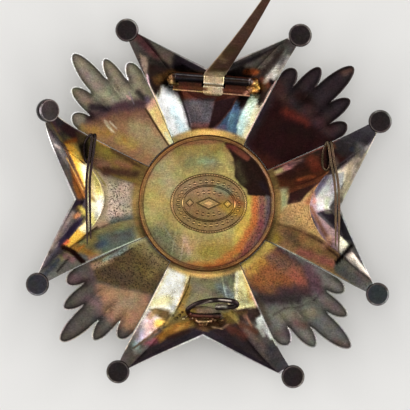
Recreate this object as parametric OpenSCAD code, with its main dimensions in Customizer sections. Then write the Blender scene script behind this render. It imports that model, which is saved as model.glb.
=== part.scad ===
// Breast star of an order, lying face down: +Z is the back, the resting face is at z = 0.
// The pin's hinge is on the arm that points to +Y, the catch on the arm that points to -Y.

/* [Cross] */
// Distance of a ball tip's centre from the middle of the star, along its arm
tip_reach = 37.4; // [34:0.1:42]
// Distance of a ball tip's centre from its arm's middle line
tip_spread = 19; // [17.5:0.1:20]
// Radius of a ball tip
ball_r = 2.57; // [2.2:0.01:3]
// Distance of the notch in an arm's end from the middle of the star
notch_reach = 29.3; // [28.5:0.1:30.5]
// Thickness of the struck sheet of the cross
cross_sheet = 0.8; // [0.6:0.05:1]
// Slope of the side facets, as rise over width
bevel_slope = 0.72; // [0.5:0.01:0.75]
// Extra depth of an arm's middle panel along its middle line
panel_dish = 0.5; // [0.2:0.05:0.6]
// Depth of the crease that runs along the notch's edges
notch_crease_drop = 0.35; // [0.2:0.05:0.6]
// Height of the back edges above the resting face, at the middle of the star
rim_height = 5.2; // [5:0.1:7]
// How far the ball tips stand above that height
dome_rise = 3; // [1.5:0.1:4]
// How far the one bent tip stands up over the others
bent_tip_rise = 4.5; // [0:0.1:5]
// Tilt of the bent tip's ball
bent_tip_turn = 34; // [0:1:40]

/* [Middle] */
// Outer radius of the drum that the arms grow out of
drum_r = 15.1; // [14.6:0.1:15.4]
// Wall of the drum
drum_wall = 1.5; // [1:0.1:2]
// Radius of the cover disc on the back
disc_r = 14.9; // [14:0.1:15]
// Height of the cover disc's crown above its seat
disc_crown = 1; // [0.8:0.05:1.3]
// Length of the oval plate
oval_l = 17; // [14:0.1:17.6]
// Width of the oval plate
oval_w = 13.2; // [11:0.1:15]
// Thickness of the oval plate without its border
oval_t = 0.35; // [0.3:0.05:0.5]
// Radius of the plain resting face of the front's medallion
medallion_r = 9.5; // [8:0.1:12]

/* [Rays] */
// Distance of the longest ray's tip from the middle of the star
ray_reach = 44; // [41:0.1:47]
// Thickness of the rays' struck sheet
ray_sheet = 0.7; // [0.5:0.05:0.9]
// Gap between a fan of rays and the arms beside it
ray_gap = 0.15; // [0.1:0.05:0.3]
// Step from the arms' back edges down to the rays beside them
ray_drop = 0.35; // [0.2:0.05:0.6]
// Depth of a fan's hollow between its two arms
fan_dish = 0.9; // [0.3:0.1:1.4]
// Depth of one ray's hollow
ray_dish = 0.4; // [0.2:0.05:0.6]

/* [Hinge and pin] */
// Distance of the pin's axle from the middle of the star, along the arm
hinge_reach = 27.2; // [26.5:0.1:27.6]
// Offset of the middle knuckle from the arm's middle line
hinge_offset = 0.7; // [-0.5:0.1:1]
// Turn of the axle away from square
hinge_skew = -3; // [-4:0.5:2]
// Radius of the axle
axle_r = 0.5; // [0.4:0.05:0.55]
// Outer radius of the side barrels
barrel_r = 0.85; // [0.8:0.05:0.95]
// Width of the middle knuckle
knuckle_w = 4.4; // [3.8:0.1:4.8]
// Outer radius of the middle knuckle
knuckle_r = 1.4; // [1.3:0.05:1.45]
// Length of the left side barrel
barrel_left_l = 6.1; // [5:0.1:6.5]
// Length of the right side barrel
barrel_right_l = 5.4; // [4.5:0.1:6]
// Thickness of the hinge's base plate
plate_t = 0.6; // [0.5:0.05:0.7]
// Elevation of the open pin above the plane of the star
pin_lift = 47; // [35:1:60]
// Reach of the pin's point from its axle
pin_reach = 48; // [40:1:50]
// Width of the pin's blade at the axle
blade_w = 4.4; // [3.4:0.1:4.4]
// Thickness of the pin's blade
blade_t = 0.55; // [0.4:0.05:0.7]
// Sideways lean of the bent blade, as share of its reach
blade_lean = 0.47; // [0.3:0.01:0.5]
// How far the blade's curve has come back at the point
blade_back = 5; // [2:0.5:7]

/* [Wires] */
// Radius of the hooks' wire
hook_wire_r = 0.29; // [0.25:0.01:0.32]
// Length of the hooks' prongs
prong_l = 24; // [20:0.5:26]
// Clearance of the prongs over the arms' back edges
prong_clearance = 1; // [0.8:0.1:1.6]
// Radius of the catch's wire
catch_wire_r = 0.55; // [0.45:0.01:0.6]
// Distance of the catch's foot from the middle of the star
catch_reach = 24.8; // [24.4:0.1:25.2]
// Slant of the catch's loop from the plane of the star
catch_slant = 46; // [40:1:60]

/* [Hidden] */

// Gap that keeps touching pieces apart
seat_gap = 0.05;
// Clearance of the middle knuckle on the axle
axle_clearance = 0.05;
// Clearance of the axle in the side barrels
barrel_clearance = 0.03;
// Gap between the knuckles along the axle
knuckle_gap = 0.15;
// Radius at which the balls' centres lie
tip_r = norm([tip_spread, tip_reach]);
// Radius, inside the drum's wall, at which the arms' sheets end
root_r = drum_r - 0.45;
// Height of the drum's floor, which the arms' deepest floor meets
drum_floor = 2;
// Height of the cover disc's seat
seat_z = rim_height + 0.6;
// Small overlap that joins solids
join = 0.02;

silver_gold = [0.62, 0.52, 0.30];
silver_grey = [0.45, 0.43, 0.42];
brass_tan = [0.66, 0.56, 0.40];
wire_brown = [0.28, 0.23, 0.20];
blade_brown = [0.42, 0.35, 0.28];

function mix(a, b, s) = a + (b - a) * s;
function clamp01(x) = min(max(x, 0), 1);
function ease(x) = let (c = clamp01(x)) c * c * (3 - 2 * c);
function arch(s) = 4 * s * (1 - s);
function unit(v) = v / norm(v);

// Height of the star's domed back at a distance r from the middle
function rim_z(r) = rim_height + dome_rise * pow(r / tip_r, 2);

// Lines of one half arm in plan, across and outward, from the drum to the neck of the ball

// Root and neck of the side edge, and how far it bows toward the arm's middle
side_root = [root_r * sin(30.5), root_r * cos(30.5)];
side_neck = [tip_spread - 0.4, tip_reach - 2];
side_bow = 0.25;
// The same for the crease between the side facet and the middle of the arm
crease_root = [root_r * sin(14.2), root_r * cos(14.2)];
crease_neck = [tip_spread - 2.4, tip_reach - 0.5];
crease_bow = 2.9;
neck_w = side_neck[0] - crease_neck[0];

function side_edge(s) = mix(side_root, side_neck, s) - [side_bow * arch(s), 0];
function crease(s) = mix(crease_root, crease_neck, s) - [crease_bow * arch(s), 0];
function crease_depth(s) = bevel_slope * max(0, side_edge(s)[0] - crease(s)[0] - neck_w);

// Where the middle panel ends on the crease, and where the notch's crease meets it, as shares
panel_end = 0.552;
notch_crease_end = 0.95;
// The middle panel's end and the notch's crease on the arm's middle line, and how far each of
// them lies inside the notch
panel_inset = 6.6;
notch_crease_inset = 2.4;
panel_reach = notch_reach - panel_inset;
notch_crease_reach = notch_reach - notch_crease_inset;

// Rows of an arm's mesh, drum to notch: place on the crease, place on the middle line between
// the row's two bounds, bend of the row, and the part of the arm that the row belongs to
PANEL = 0;
BEVEL = 1;
EDGE = 2;
ARM_ROWS = [
    // crease, middle line, bend, part
    [0.000, 0.00, 1.8, PANEL],
    [0.030, 0.08, 1.8, PANEL],
    [0.060, 0.17, 1.8, PANEL],
    [0.105, 0.27, 1.8, PANEL],
    [0.240, 0.50, 1.8, PANEL],
    [0.400, 0.76, 1.8, PANEL],
    [panel_end, 1.00, 1.8, PANEL],
    [0.660, 0.25, 1.6, BEVEL],
    [0.770, 0.50, 1.4, BEVEL],
    [0.870, 0.75, 1.2, BEVEL],
    [notch_crease_end, 1.00, 1.0, BEVEL],
    [1.000, 1.00, 1.0, EDGE]];
// Columns of a half arm: steps across the middle, and steps across the side facet
middle_steps = 5;
facet_steps = 3;
half_steps = middle_steps + facet_steps;

function axis_reach(row) =
    row[3] == PANEL ? mix(root_r, panel_reach, row[1]) :
    row[3] == BEVEL ? mix(panel_reach, notch_crease_reach, row[1]) : notch_reach;
function axis_depth(row) =
    row[3] == PANEL ? crease_depth(row[0]) + panel_dish :
    row[3] == BEVEL ? mix(crease_depth(panel_end) + panel_dish, notch_crease_drop, row[1]) : 0;

// Arms, each with its direction and the dents of its two points: how far the tip is pushed
// across and outward, as shares of the arm's reach, and whether it is bent up
STRAIGHT = 0;
BENT = 1;
ARMS = [
    // direction, then for the left and the right tip: across, outward, bent
    [0, [-0.007, 0.003, STRAIGHT], [0.010, 0.004, STRAIGHT]],
    [90, [-0.002, -0.019, STRAIGHT], [0.004, -0.056, BENT]],
    [180, [0.029, 0.003, STRAIGHT], [-0.016, 0.006, STRAIGHT]],
    [270, [0.004, 0.003, STRAIGHT], [-0.005, 0.019, STRAIGHT]]];
// A dent fades from the ball toward the drum and toward the arm's middle line
function dent_share(plan) =
    clamp01((norm(plan) - root_r) / (tip_r - root_r)) * clamp01(plan[0] / tip_spread);
function dent(plan, tip) =
    let (w = dent_share(plan), push = tip_reach * pow(w, 4))
    [tip[0] * push, tip[1] * push, tip[2] * bent_tip_rise * pow(w, 2)];

function half_arm_plan(row, column) =
    column <= middle_steps ?
        let (s = column / middle_steps, edge = crease(row[0]), reach = axis_reach(row))
        [s * edge[0], mix(reach, edge[1], pow(s, row[2]))] :
        mix(crease(row[0]), side_edge(row[0]), (column - middle_steps) / facet_steps);
function half_arm_depth(row, column) =
    column <= middle_steps ?
        let (s = pow(column / middle_steps, row[3] == PANEL ? 2 : 1))
        mix(axis_depth(row), crease_depth(row[0]), s) :
        crease_depth(row[0]) * pow(1 - (column - middle_steps) / facet_steps, 1.15);
function half_arm_point(row, column, tip) =
    let (plan = half_arm_plan(row, column))
    [plan[0], plan[1], rim_z(norm(plan)) - half_arm_depth(row, column)] + dent(plan, tip);

// Both halves side by side; a column below zero is on the left half
function arm_point(row, column, left_tip, right_tip) =
    let (p = half_arm_point(row, abs(column), column < 0 ? left_tip : right_tip))
    [column < 0 ? -p[0] : p[0], p[1], p[2]];

// Closed sheet from a grid of back points, its front lying a thickness lower
module sheet(grid, thickness) {
    rows = len(grid);
    columns = len(grid[0]);
    count = rows * columns;
    back = [for (row = grid) for (p = row) p];
    front = [for (p = back) p - [0, 0, thickness]];
    rim = concat([for (j = [0:columns - 2]) [0, j, 0, j + 1]],
                 [for (i = [0:rows - 2]) [i, columns - 1, i + 1, columns - 1]],
                 [for (j = [columns - 1:-1:1]) [rows - 1, j, rows - 1, j - 1]],
                 [for (i = [rows - 1:-1:1]) [i, 0, i - 1, 0]]);
    cells = [for (i = [0:rows - 2]) for (j = [0:columns - 2]) i * columns + j];
    // Each half of an arm or fan is cut along the diagonal that mirrors the other half's
    function split(a, b, c, d, flip) = flip ? [[a, b, c], [a, c, d]] : [[a, b, d], [b, c, d]];
    back_faces = [for (a = cells) let (flip = a % columns < columns / 2 - 0.5)
                  for (f = split(a, a + columns, a + columns + 1, a + 1, flip)) f];
    front_faces = [for (a = cells) let (flip = a % columns < columns / 2 - 0.5)
                   for (f = split(a, a + columns, a + columns + 1, a + 1, flip))
                   [for (k = [2, 1, 0]) f[k] + count]];
    walls = [for (e = rim) let (a = e[0] * columns + e[1], b = e[2] * columns + e[3])
             for (f = [[a, b, b + count], [a, b + count, a + count]]) f];
    polyhedron(concat(back, front), concat(back_faces, front_faces, walls), convexity = 6);
}

// Ball tip: a full front, and a back that is cut flat
module ball_tip(tip) {
    back_cut = 0.9;
    translate([tip_spread, tip_reach, rim_z(tip_r) - 0.6] + dent([tip_spread, tip_reach], tip))
        rotate([tip[2] * bent_tip_turn, 0, 0])
        difference() {
            sphere(r = ball_r, $fn = 32);
            translate([0, 0, ball_r + back_cut])
                cube(2 * ball_r, center = true);
        }
}

module arm(left_tip, right_tip) {
    sheet([for (row = ARM_ROWS) [for (j = [-half_steps:half_steps])
           arm_point(row, j, left_tip, right_tip)]], cross_sheet);
    ball_tip(right_tip);
    mirror([1, 0, 0])
        ball_tip(left_tip);
}

// Drum: a floor and a wall whose top edge carries the cover disc
module drum() {
    difference() {
        translate([0, 0, drum_floor])
            cylinder(r = drum_r, h = seat_z - drum_floor, $fn = 96);
        translate([0, 0, drum_floor + cross_sheet])
            cylinder(r = drum_r - drum_wall, h = seat_z, $fn = 96);
    }
}

module cross_shell() {
    color(silver_grey) {
        drum();
        for (a = ARMS)
            rotate([0, 0, a[0]])
                arm(a[1], a[2]);
    }
}

// Share of a side edge that lies at a distance r from the middle of the star
function side_share(r) = (r - norm(side_root)) / (norm(side_neck) - norm(side_root));
// Half the angle of a fan at that distance, clear of the arms
function fan_angle(r) =
    let (edge = side_edge(side_share(r)))
    45 - atan2(edge[0], edge[1]) - ray_gap / r * 180 / PI;

// Rays of one fan, across it from side to side: place of the ray's middle and half its width
// as shares of half the fan, and its length as a share of the longest
RAYS = [
    // middle, half width, length
    [-0.802, 0.198, 0.805],
    [-0.414, 0.190, 0.884],
    [0.000, 0.224, 1.000],
    [0.414, 0.190, 0.884],
    [0.802, 0.198, 0.805]];
// Depth of the notches between the rays: place across the fan, distance as a share of the longest
RAY_NOTCHES = [[0.224, 0.800], [0.604, 0.734], [1, 0.750]];
// Steps across one ray, and places of the rows between the drum and the rays' ends
ray_steps = 8;
RAY_ROWS = [0, 0.16, 0.32, 0.48, 0.62, 0.75, 0.88, 1];
fan_root = drum_r + 0.2;
// Where a ray's own hollow begins and where it has its full depth
ray_start = 0.62 * ray_reach;
ray_full = 0.74 * ray_reach;

// The fans' sides follow the arms' side edges up to here, short of the ball tips
fan_bound = tip_r - 4;

function ray_end(ray, x) =
    let (notch = lookup(abs(ray[0] + x * ray[1]), RAY_NOTCHES))
    ray_reach * mix(notch, ray[2], pow(1 - x * x, 0.66));
function fan_point(ray, x, row, fan) =
    let (across = ray[0] + x * ray[1],
         r = mix(fan_root, ray_end(ray, x) * fan[2], row),
         angle = across * fan_angle(min(r, fan_bound))
                 + fan[1] * (1 - across * across) * pow((r - fan_root) / (ray_reach - fan_root), 2),
         hollow = fan_dish * (1 - across * across)
                  * sin(180 * clamp01((r - fan_root) / (ray_full - fan_root))),
         ray_hollow = ray_dish * (1 - x * x) * ease((r - ray_start) / (ray_full - ray_start)))
    [r * sin(angle), r * cos(angle), rim_z(r) - ray_drop - hollow - ray_hollow];

// Fans: direction, how far the long ray is bent aside, and its length against the others
FAN_NE = [-45, 0.3, 1];
FAN_NW = [45, 1.3, 1.005];
FAN_SW = [135, 0, 1.005];
FAN_SE = [-135, -1.5, 1.018];

module ray_fan(fan) {
    columns = [for (ray = RAYS) for (k = [ray == RAYS[0] ? 0 : 1:ray_steps])
               [ray, sin(90 * (2 * k / ray_steps - 1))]];
    color(silver_grey)
        rotate([0, 0, fan[0]])
            sheet([for (row = RAY_ROWS) [for (c = columns) fan_point(c[0], c[1], row, fan)]], ray_sheet);
}

module rays_ne() { ray_fan(FAN_NE); }
module rays_nw() { ray_fan(FAN_NW); }
module rays_sw() { ray_fan(FAN_SW); }
module rays_se() { ray_fan(FAN_SE); }

// Cover disc: a domed sheet with a flat middle, a groove and a turned rim
disc_bottom = seat_z + seat_gap;
disc_top = disc_bottom + disc_crown;
disc_sheet = 0.5;
land_r = oval_l / 2 + 0.4;

module back_disc() {
    color(silver_gold)
        rotate_extrude($fn = 96)
            polygon([[0, disc_top - disc_sheet],
                     [land_r, disc_top - disc_sheet],
                     [disc_r - drum_wall, disc_bottom + 0.15],
                     [disc_r - drum_wall + 0.1, disc_bottom],
                     [disc_r, disc_bottom],
                     [disc_r, disc_bottom + 0.55],
                     [disc_r - 0.15, disc_bottom + 0.65],
                     [disc_r - 0.4, disc_bottom + 0.62],
                     [disc_r - 0.6, disc_bottom + 0.5],
                     [mix(disc_r, land_r, 0.3), disc_top - 0.28],
                     [mix(disc_r, land_r, 0.65), disc_top - 0.08],
                     [land_r, disc_top],
                     [0, disc_top]]);
}

// Oval plate: a flat oval with a raised border, a row of beads, an inner line and lozenges
oval_z = disc_top + seat_gap;
border_w = 0.55;
border_h = 0.2;
bead_r = 0.3;
bead_inset = 1.75;
bead_count = 32;
inner_line_inset = 2.6;
oval_sides = 72;

function oval_points(inset) =
    [for (k = [0:oval_sides - 1]) let (a = 360 * k / oval_sides)
     [(oval_l / 2 - inset) * cos(a), (oval_w / 2 - inset) * sin(a)]];
module oval_ring(inset, width) {
    translate([0, 0, oval_t - join])
        linear_extrude(border_h + join)
            difference() {
                polygon(oval_points(inset));
                polygon(oval_points(inset + width));
            }
}
module oval_beads() {
    for (k = [0:bead_count - 1]) {
        a = 360 * (k + 0.5) / bead_count;
        translate([(oval_l / 2 - bead_inset) * cos(a), (oval_w / 2 - bead_inset) * sin(a), oval_t - join])
            cylinder(r = bead_r, h = border_h + join, $fn = 8);
    }
}
module lozenge(length, width) {
    translate([0, 0, oval_t - join])
        linear_extrude(border_h + join)
            polygon([[length / 2, 0], [0, width / 2], [-length / 2, 0], [0, -width / 2]]);
}
module oval_plate() {
    color(silver_gold)
        translate([0.4, 0, oval_z]) {
            linear_extrude(oval_t)
                polygon(oval_points(0));
            oval_ring(0, border_w);
            oval_ring(inner_line_inset, 0.25);
            oval_beads();
            lozenge(oval_l * 0.32, oval_w * 0.2);
            for (side = [-1, 1])
                translate([side * oval_l * 0.245, 0, 0])
                    lozenge(oval_l * 0.1, oval_w * 0.13);
        }
}

// Medallion on the front: a stepped plain disc that the star rests on
medallion_top = drum_floor - seat_gap;
module medallion() {
    color(silver_grey)
        rotate_extrude($fn = 96)
            polygon([[0, 0],
                     [medallion_r, 0],
                     [medallion_r + 0.4, 0.4],
                     [medallion_r + 0.4, 0.9],
                     [medallion_r + 3, 1.1],
                     [medallion_r + 3.6, medallion_top],
                     [0, medallion_top]]);
}

// Height of the axle: the base plate clears the arm's end, and the barrels sit on the plate
plate_drop = barrel_r - 0.1;
hinge_z = rim_z(hinge_reach + 1.4) + plate_t + plate_drop;
// The plate's outline from the axle, toward the drum and toward the notch
plate_inner = 3;
plate_outer = 1.2;
window_w = knuckle_w + 0.6;
// The stop pad below the knuckle, clear of the knuckle's sweep and of the closed blade
pad_start = knuckle_r + 0.2;
pad_end = plate_inner + 0.5;
pad_top = -blade_t / 2 - 0.2;

module at_hinge() {
    translate([hinge_offset, hinge_reach, hinge_z])
        rotate([0, 0, hinge_skew])
            children();
}
module barrel(start, length) {
    translate([start, 0, 0])
        rotate([0, 90, 0])
            cylinder(r = barrel_r, h = length, $fn = 32);
}

barrel_start = knuckle_w / 2 + knuckle_gap;
plate_left = barrel_start + barrel_left_l + 0.4;
plate_right = barrel_start + barrel_right_l + 0.4;

// Facet share: where a point of the plan lies between the crease and the side edge
function facet_row(p, k) =
    (p[1] - mix(crease_root[1], side_root[1], k))
    / (mix(crease_neck[1], side_neck[1], k) - mix(crease_root[1], side_root[1], k));
function facet_share(p, k = 0.5, turns = 4) =
    let (s = facet_row(p, k), inner = crease(s)[0], outer = side_edge(s)[0],
         better = clamp01((p[0] - inner) / (outer - inner)))
    turns == 0 ? better : facet_share(p, better, turns - 1);
// Height of an arm's side facet at a point across and outward, on the way to a tip
function facet_z(across, outward, tip) =
    let (p = [abs(across), outward], k = facet_share(p), s = facet_row(p, k))
    rim_z(norm(p)) - crease_depth(s) * pow(1 - k, 1.15) + dent(p, tip)[2];

// Solder lump from the end of the base plate down to the side facet of the arm
module hinge_solder(side, start) {
    foot_x = side * (start + 1.5);
    foot_y = -1.6;
    tip = ARMS[0][side < 0 ? 1 : 2];
    foot_z = facet_z(foot_x + hinge_offset, hinge_reach + foot_y, tip) - hinge_z;
    hull() {
        translate([side * (start - 0.5), -1, -plate_drop - plate_t / 2])
            cube([1, 3.4, plate_t], center = true);
        translate([foot_x, foot_y, foot_z + 0.75])
            sphere(r = 0.5, $fn = 10);
        translate([foot_x + side * 0.3, foot_y + 2, foot_z + 1.35])
            sphere(r = 0.5, $fn = 10);
    }
}

module hinge_base() {
    color(brass_tan)
        at_hinge() {
            difference() {
                union() {
                    translate([-plate_left, -plate_inner, -plate_drop - plate_t])
                        cube([plate_left + plate_right, plate_inner + plate_outer, plate_t]);
                    barrel(barrel_start, barrel_right_l);
                    barrel(-barrel_start - barrel_left_l, barrel_left_l);
                }
                translate([-window_w / 2, -pad_start, -plate_drop - plate_t - 1])
                    cube([window_w, pad_start + plate_outer + 1, plate_t + 2]);
                translate([-plate_left - 1, 0, 0])
                    rotate([0, 90, 0])
                        cylinder(r = axle_r + barrel_clearance, h = plate_left + plate_right + 2, $fn = 32);
            }
            translate([0, 0, -plate_drop - plate_t])
                linear_extrude(plate_drop + plate_t + pad_top)
                    difference() {
                        translate([-knuckle_w / 2, -pad_end])
                            square([knuckle_w, pad_end - pad_start]);
                        for (side = [-1, 1])
                            translate([side * knuckle_w / 2, -pad_end])
                                rotate(45)
                                    square(1, center = true);
                    }
            hinge_solder(1, plate_right);
            hinge_solder(-1, plate_left);
        }
}

module hinge_rivet() {
    color(wire_brown)
        at_hinge()
            translate([-barrel_start - barrel_left_l - 0.2, 0, 0])
                rotate([0, 90, 0])
                    cylinder(r = axle_r, h = 2 * barrel_start + barrel_left_l + barrel_right_l + 0.4, $fn = 32);
}

// Blade of the pin in its own plane: a sabre curve that narrows to a point
blade_rows = 16;
blade_root = -0.7;
function blade_line(s) = [blade_root + blade_lean * pin_reach * s - blade_back * s * s, pin_reach * s];
function blade_half(s) = blade_w / 2 * pow(1 - s, 1.35) + 0.08;
function blade_side(s, side) =
    let (along = unit(blade_line(s + 0.01) - blade_line(s - 0.01)))
    blade_line(s) + side * blade_half(s) * [along[1], -along[0]];

module blade() {
    shares = [for (k = [1:blade_rows]) 0.025 + 0.975 * k / blade_rows];
    outline = concat([[-knuckle_w / 2 + 0.2, 0.4]], [for (s = shares) blade_side(s, -1)],
                     [for (k = [blade_rows - 1:-1:0]) blade_side(shares[k], 1)],
                     [[knuckle_w / 2 - 0.2, 0.4]]);
    translate([0, 0, -blade_t / 2])
        linear_extrude(blade_t)
            polygon(outline);
}
module pin() {
    flat_h = 1.05;
    color(blade_brown)
        at_hinge()
            difference() {
                union() {
                    intersection() {
                        translate([-knuckle_w / 2, 0, 0])
                            rotate([0, 90, 0])
                                cylinder(r = knuckle_r, h = knuckle_w, $fn = 48);
                        translate([-knuckle_w, -knuckle_w, -knuckle_w])
                            cube([2 * knuckle_w, 2 * knuckle_w, knuckle_w + flat_h]);
                    }
                    rotate([pin_lift, 0, 0])
                        blade();
                }
                translate([-knuckle_w, 0, 0])
                    rotate([0, 90, 0])
                        cylinder(r = axle_r + axle_clearance, h = 2 * knuckle_w, $fn = 32);
            }
}

// Smooth curve through a few points
function curve_point(a, b, c, d, s) =
    0.5 * ((2 * b) + (c - a) * s + (2 * a - 5 * b + 4 * c - d) * s * s
           + (3 * b - a - 3 * c + d) * s * s * s);
function curve(points, steps) =
    let (last = len(points) - 1)
    concat([for (i = [0:last - 1]) let (before = points[max(i - 1, 0)], after = points[min(i + 2, last)])
            for (k = [0:steps - 1]) curve_point(before, points[i], points[i + 1], after, k / steps)],
           [points[last]]);

// Round wire along a path, with its ends drawn in
function tangents(path) =
    let (last = len(path) - 1)
    [for (i = [0:last]) unit(path[min(i + 1, last)] - path[max(i - 1, 0)])];
function side_vectors(t, before, i = 0) =
    i == len(t) ? [] :
    let (v = unit(before - (before * t[i]) * t[i])) concat([v], side_vectors(t, v, i + 1));
module wire(path, radii, sides) {
    last = len(path) - 1;
    along = tangents(path);
    across = side_vectors(along, [0.31, 0.22, 0.93]);
    points = [for (i = [0:last]) for (k = [0:sides - 1])
              let (u = across[i], w = cross(along[i], u), a = 360 * k / sides)
              path[i] + radii[i] * (cos(a) * u + sin(a) * w)];
    walls = [for (i = [0:last - 1]) for (k = [0:sides - 1])
             let (a = i * sides + k, b = i * sides + (k + 1) % sides)
             for (f = [[a, b + sides, b], [a, a + sides, b + sides]]) f];
    caps = [[for (k = [0:sides - 1]) k], [for (k = [sides - 1:-1:0]) last * sides + k]];
    polyhedron(points, concat(walls, caps), convexity = 8);
}

// Catch: the loop's outline in its own slanted plane, sideways and up, from the knob at the
// foot round to the bulb that closes the mouth
CATCH_LOOP = [[3.4, 0.2], [1.2, 0], [-1.6, 0], [-3.2, 0.6], [-3.3, 2.2], [-0.8, 4.3],
              [3, 5.3], [6.4, 5], [7.3, 3.9], [6, 3.1], [3.1, 3]];
catch_steps = 3;
catch_sides = 8;
// Slope of the facet under the catch, and the height of the catch's foot above it
catch_facet_slope = atan2(crease_depth(panel_end) + panel_dish - notch_crease_drop
                          + rim_z(notch_crease_reach) - rim_z(panel_reach),
                          notch_crease_reach - panel_reach);
catch_facet_z = mix(rim_z(panel_reach) - crease_depth(panel_end) - panel_dish,
                    rim_z(notch_crease_reach) - notch_crease_drop,
                    (catch_reach - panel_reach) / (notch_crease_reach - panel_reach));
catch_z = catch_facet_z + 0.75;

// The bulb and the knob swell out of the wire at its two ends
function catch_radius(share) =
    catch_wire_r * (1 + 0.35 * ease((share - 0.93) / 0.05) + 0.25 * ease((0.07 - share) / 0.05));

module catch() {
    path = [for (p = curve(CATCH_LOOP, catch_steps))
            [p[0], -catch_reach + p[1] * cos(catch_slant), catch_z + p[1] * sin(catch_slant)]];
    count = len(path) - 1;
    // Solder pad on the facet, from the foot's wire outward
    pad_lift = 0.12;
    color(wire_brown) {
        wire(path, [for (i = [0:count]) catch_radius(i / count)], catch_sides);
        translate([0.4, -catch_reach, catch_facet_z])
            rotate([-catch_facet_slope, 0, 0])
                translate([0, 0, pad_lift])
                    hull() {
                        for (x = [-1.6, 1.2])
                            translate([x, 0.1, 0])
                                cylinder(r = 0.6, h = 0.55, $fn = 10);
                        for (x = [-2, 2.2])
                            translate([x, -2, 0])
                                cylinder(r = 0.8, h = 0.3, $fn = 10);
                    }
    }
}

// Hooks: side of the star, then distances from the middle of the top bend, of the prongs'
// middle and of their points, and of the foot loop's two legs, and the tip of the arm's upper half
HOOKS = [
    // side, top bend, prongs' middle, points, inner leg, outer leg, tip
    [-1, 25.3, 26.2, 25.6, 25.7, 27.4, ARMS[1][2]],
    [1, 26.6, 28.5, 28.9, 25.2, 26.9, ARMS[3][1]]];
// Gap between the two prongs' middle lines, and how much shorter the second one is
prong_pitch = 0.75;
prong_stagger = 1.2;
hook_steps = 3;
hook_sides = 6;
// Height of the top bend on the arm, across from its middle line
hook_top = 14.3;
foot_bottom = 8.2;
// Distance from the top bend down to where the legs of the foot touch the facet
foot_start = 2.4;

module hook(h) {
    // A point of one strand; place is the distance outward, the strand's side is -1 or 1
    function at(x, y, z) = [h[0] * x, y, z];
    function foot(x, y) = at(x, y, facet_z(y, x, h[6]) + hook_wire_r + 0.12);
    prong_z = rim_z(norm([h[3], hook_top])) + dent([hook_top, h[3]], h[6])[2]
              + prong_clearance + hook_wire_r;
    half = prong_pitch / 2;
    middle_y = hook_top - prong_l * 0.45;
    function prong(offset, cut) = [at(h[3] + offset, hook_top - prong_l + cut, prong_z),
                                   at(h[2] + offset, middle_y, prong_z),
                                   at(mix(h[1], h[2], 0.35) + offset, hook_top - 4, prong_z)];
    down = prong(half, 0);
    back = prong(-half, prong_stagger);
    path = curve(concat(down,
                        [at(h[1] + half, hook_top - 0.2, prong_z - 0.35),
                         at(mix(h[1], h[5], 0.6), hook_top - 0.6, prong_z - 0.95),
                         foot(h[5], hook_top - foot_start),
                         foot(h[5] - 0.1, foot_bottom + 0.8),
                         foot(mix(h[4], h[5], 0.5), foot_bottom),
                         foot(h[4] + 0.1, foot_bottom + 0.8),
                         foot(h[4], hook_top - foot_start),
                         at(mix(h[1], h[4], 0.6), hook_top - 0.6, prong_z - 0.95),
                         at(h[1] - half, hook_top - 0.2, prong_z - 0.35)],
                        [back[2], back[1], back[0]]), hook_steps);
    last = len(path) - 1;
    color(wire_brown)
        wire(path, [for (i = [0:last]) hook_wire_r * (min(i, last - i) == 0 ? 0.3 : 1)], hook_sides);
}
module hook_left() { hook(HOOKS[0]); }
module hook_right() { hook(HOOKS[1]); }

cross_shell();
rays_ne();
rays_nw();
rays_sw();
rays_se();
back_disc();
oval_plate();
medallion();
hinge_base();
hinge_rivet();
pin();
catch();
hook_left();
hook_right();
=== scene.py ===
import math

import bmesh
import bpy
import numpy as np
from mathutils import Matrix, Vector, noise


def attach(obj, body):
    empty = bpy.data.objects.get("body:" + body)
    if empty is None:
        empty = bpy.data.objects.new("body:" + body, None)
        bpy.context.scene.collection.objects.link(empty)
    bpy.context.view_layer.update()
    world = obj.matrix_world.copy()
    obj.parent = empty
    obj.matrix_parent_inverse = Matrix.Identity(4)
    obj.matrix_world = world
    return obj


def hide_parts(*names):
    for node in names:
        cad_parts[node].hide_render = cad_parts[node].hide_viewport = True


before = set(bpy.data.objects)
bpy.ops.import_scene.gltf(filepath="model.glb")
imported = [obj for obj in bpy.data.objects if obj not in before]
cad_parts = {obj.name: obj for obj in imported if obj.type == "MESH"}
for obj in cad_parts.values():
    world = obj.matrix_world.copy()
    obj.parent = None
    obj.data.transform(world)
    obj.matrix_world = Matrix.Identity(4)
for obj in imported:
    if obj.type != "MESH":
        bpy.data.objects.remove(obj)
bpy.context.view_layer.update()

# The cross.
# Struck from sheet silver: four hollow arms that each end in two points with a ball, hard-soldered
# round a drum. Its open back shows the die's facets from behind. One point was bent up in use.

MM = 0.001

tip_reach = 37.4
tip_spread = 19.0
tip_r = math.hypot(tip_spread, tip_reach)
ball_r = 2.57
ball_cut = 0.9
ball_fillet = 0.16
notch_reach = 29.3
cross_sheet = 0.8
bevel_slope = 0.72
panel_dish = 0.5
notch_crease_drop = 0.35
rim_height = 5.2
dome_rise = 3.0
bent_tip_rise = 4.5
bent_tip_turn = math.radians(34)
drum_r = 15.1
drum_wall = 1.5
drum_floor = 2.0
seat_z = rim_height + 0.6
root_r = drum_r - 0.45


def on_circle(r, degrees):
    """Point at a distance from the star's middle, turned from the middle line of the top arm."""
    return r * np.array([math.sin(math.radians(degrees)), math.cos(math.radians(degrees))])


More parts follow.
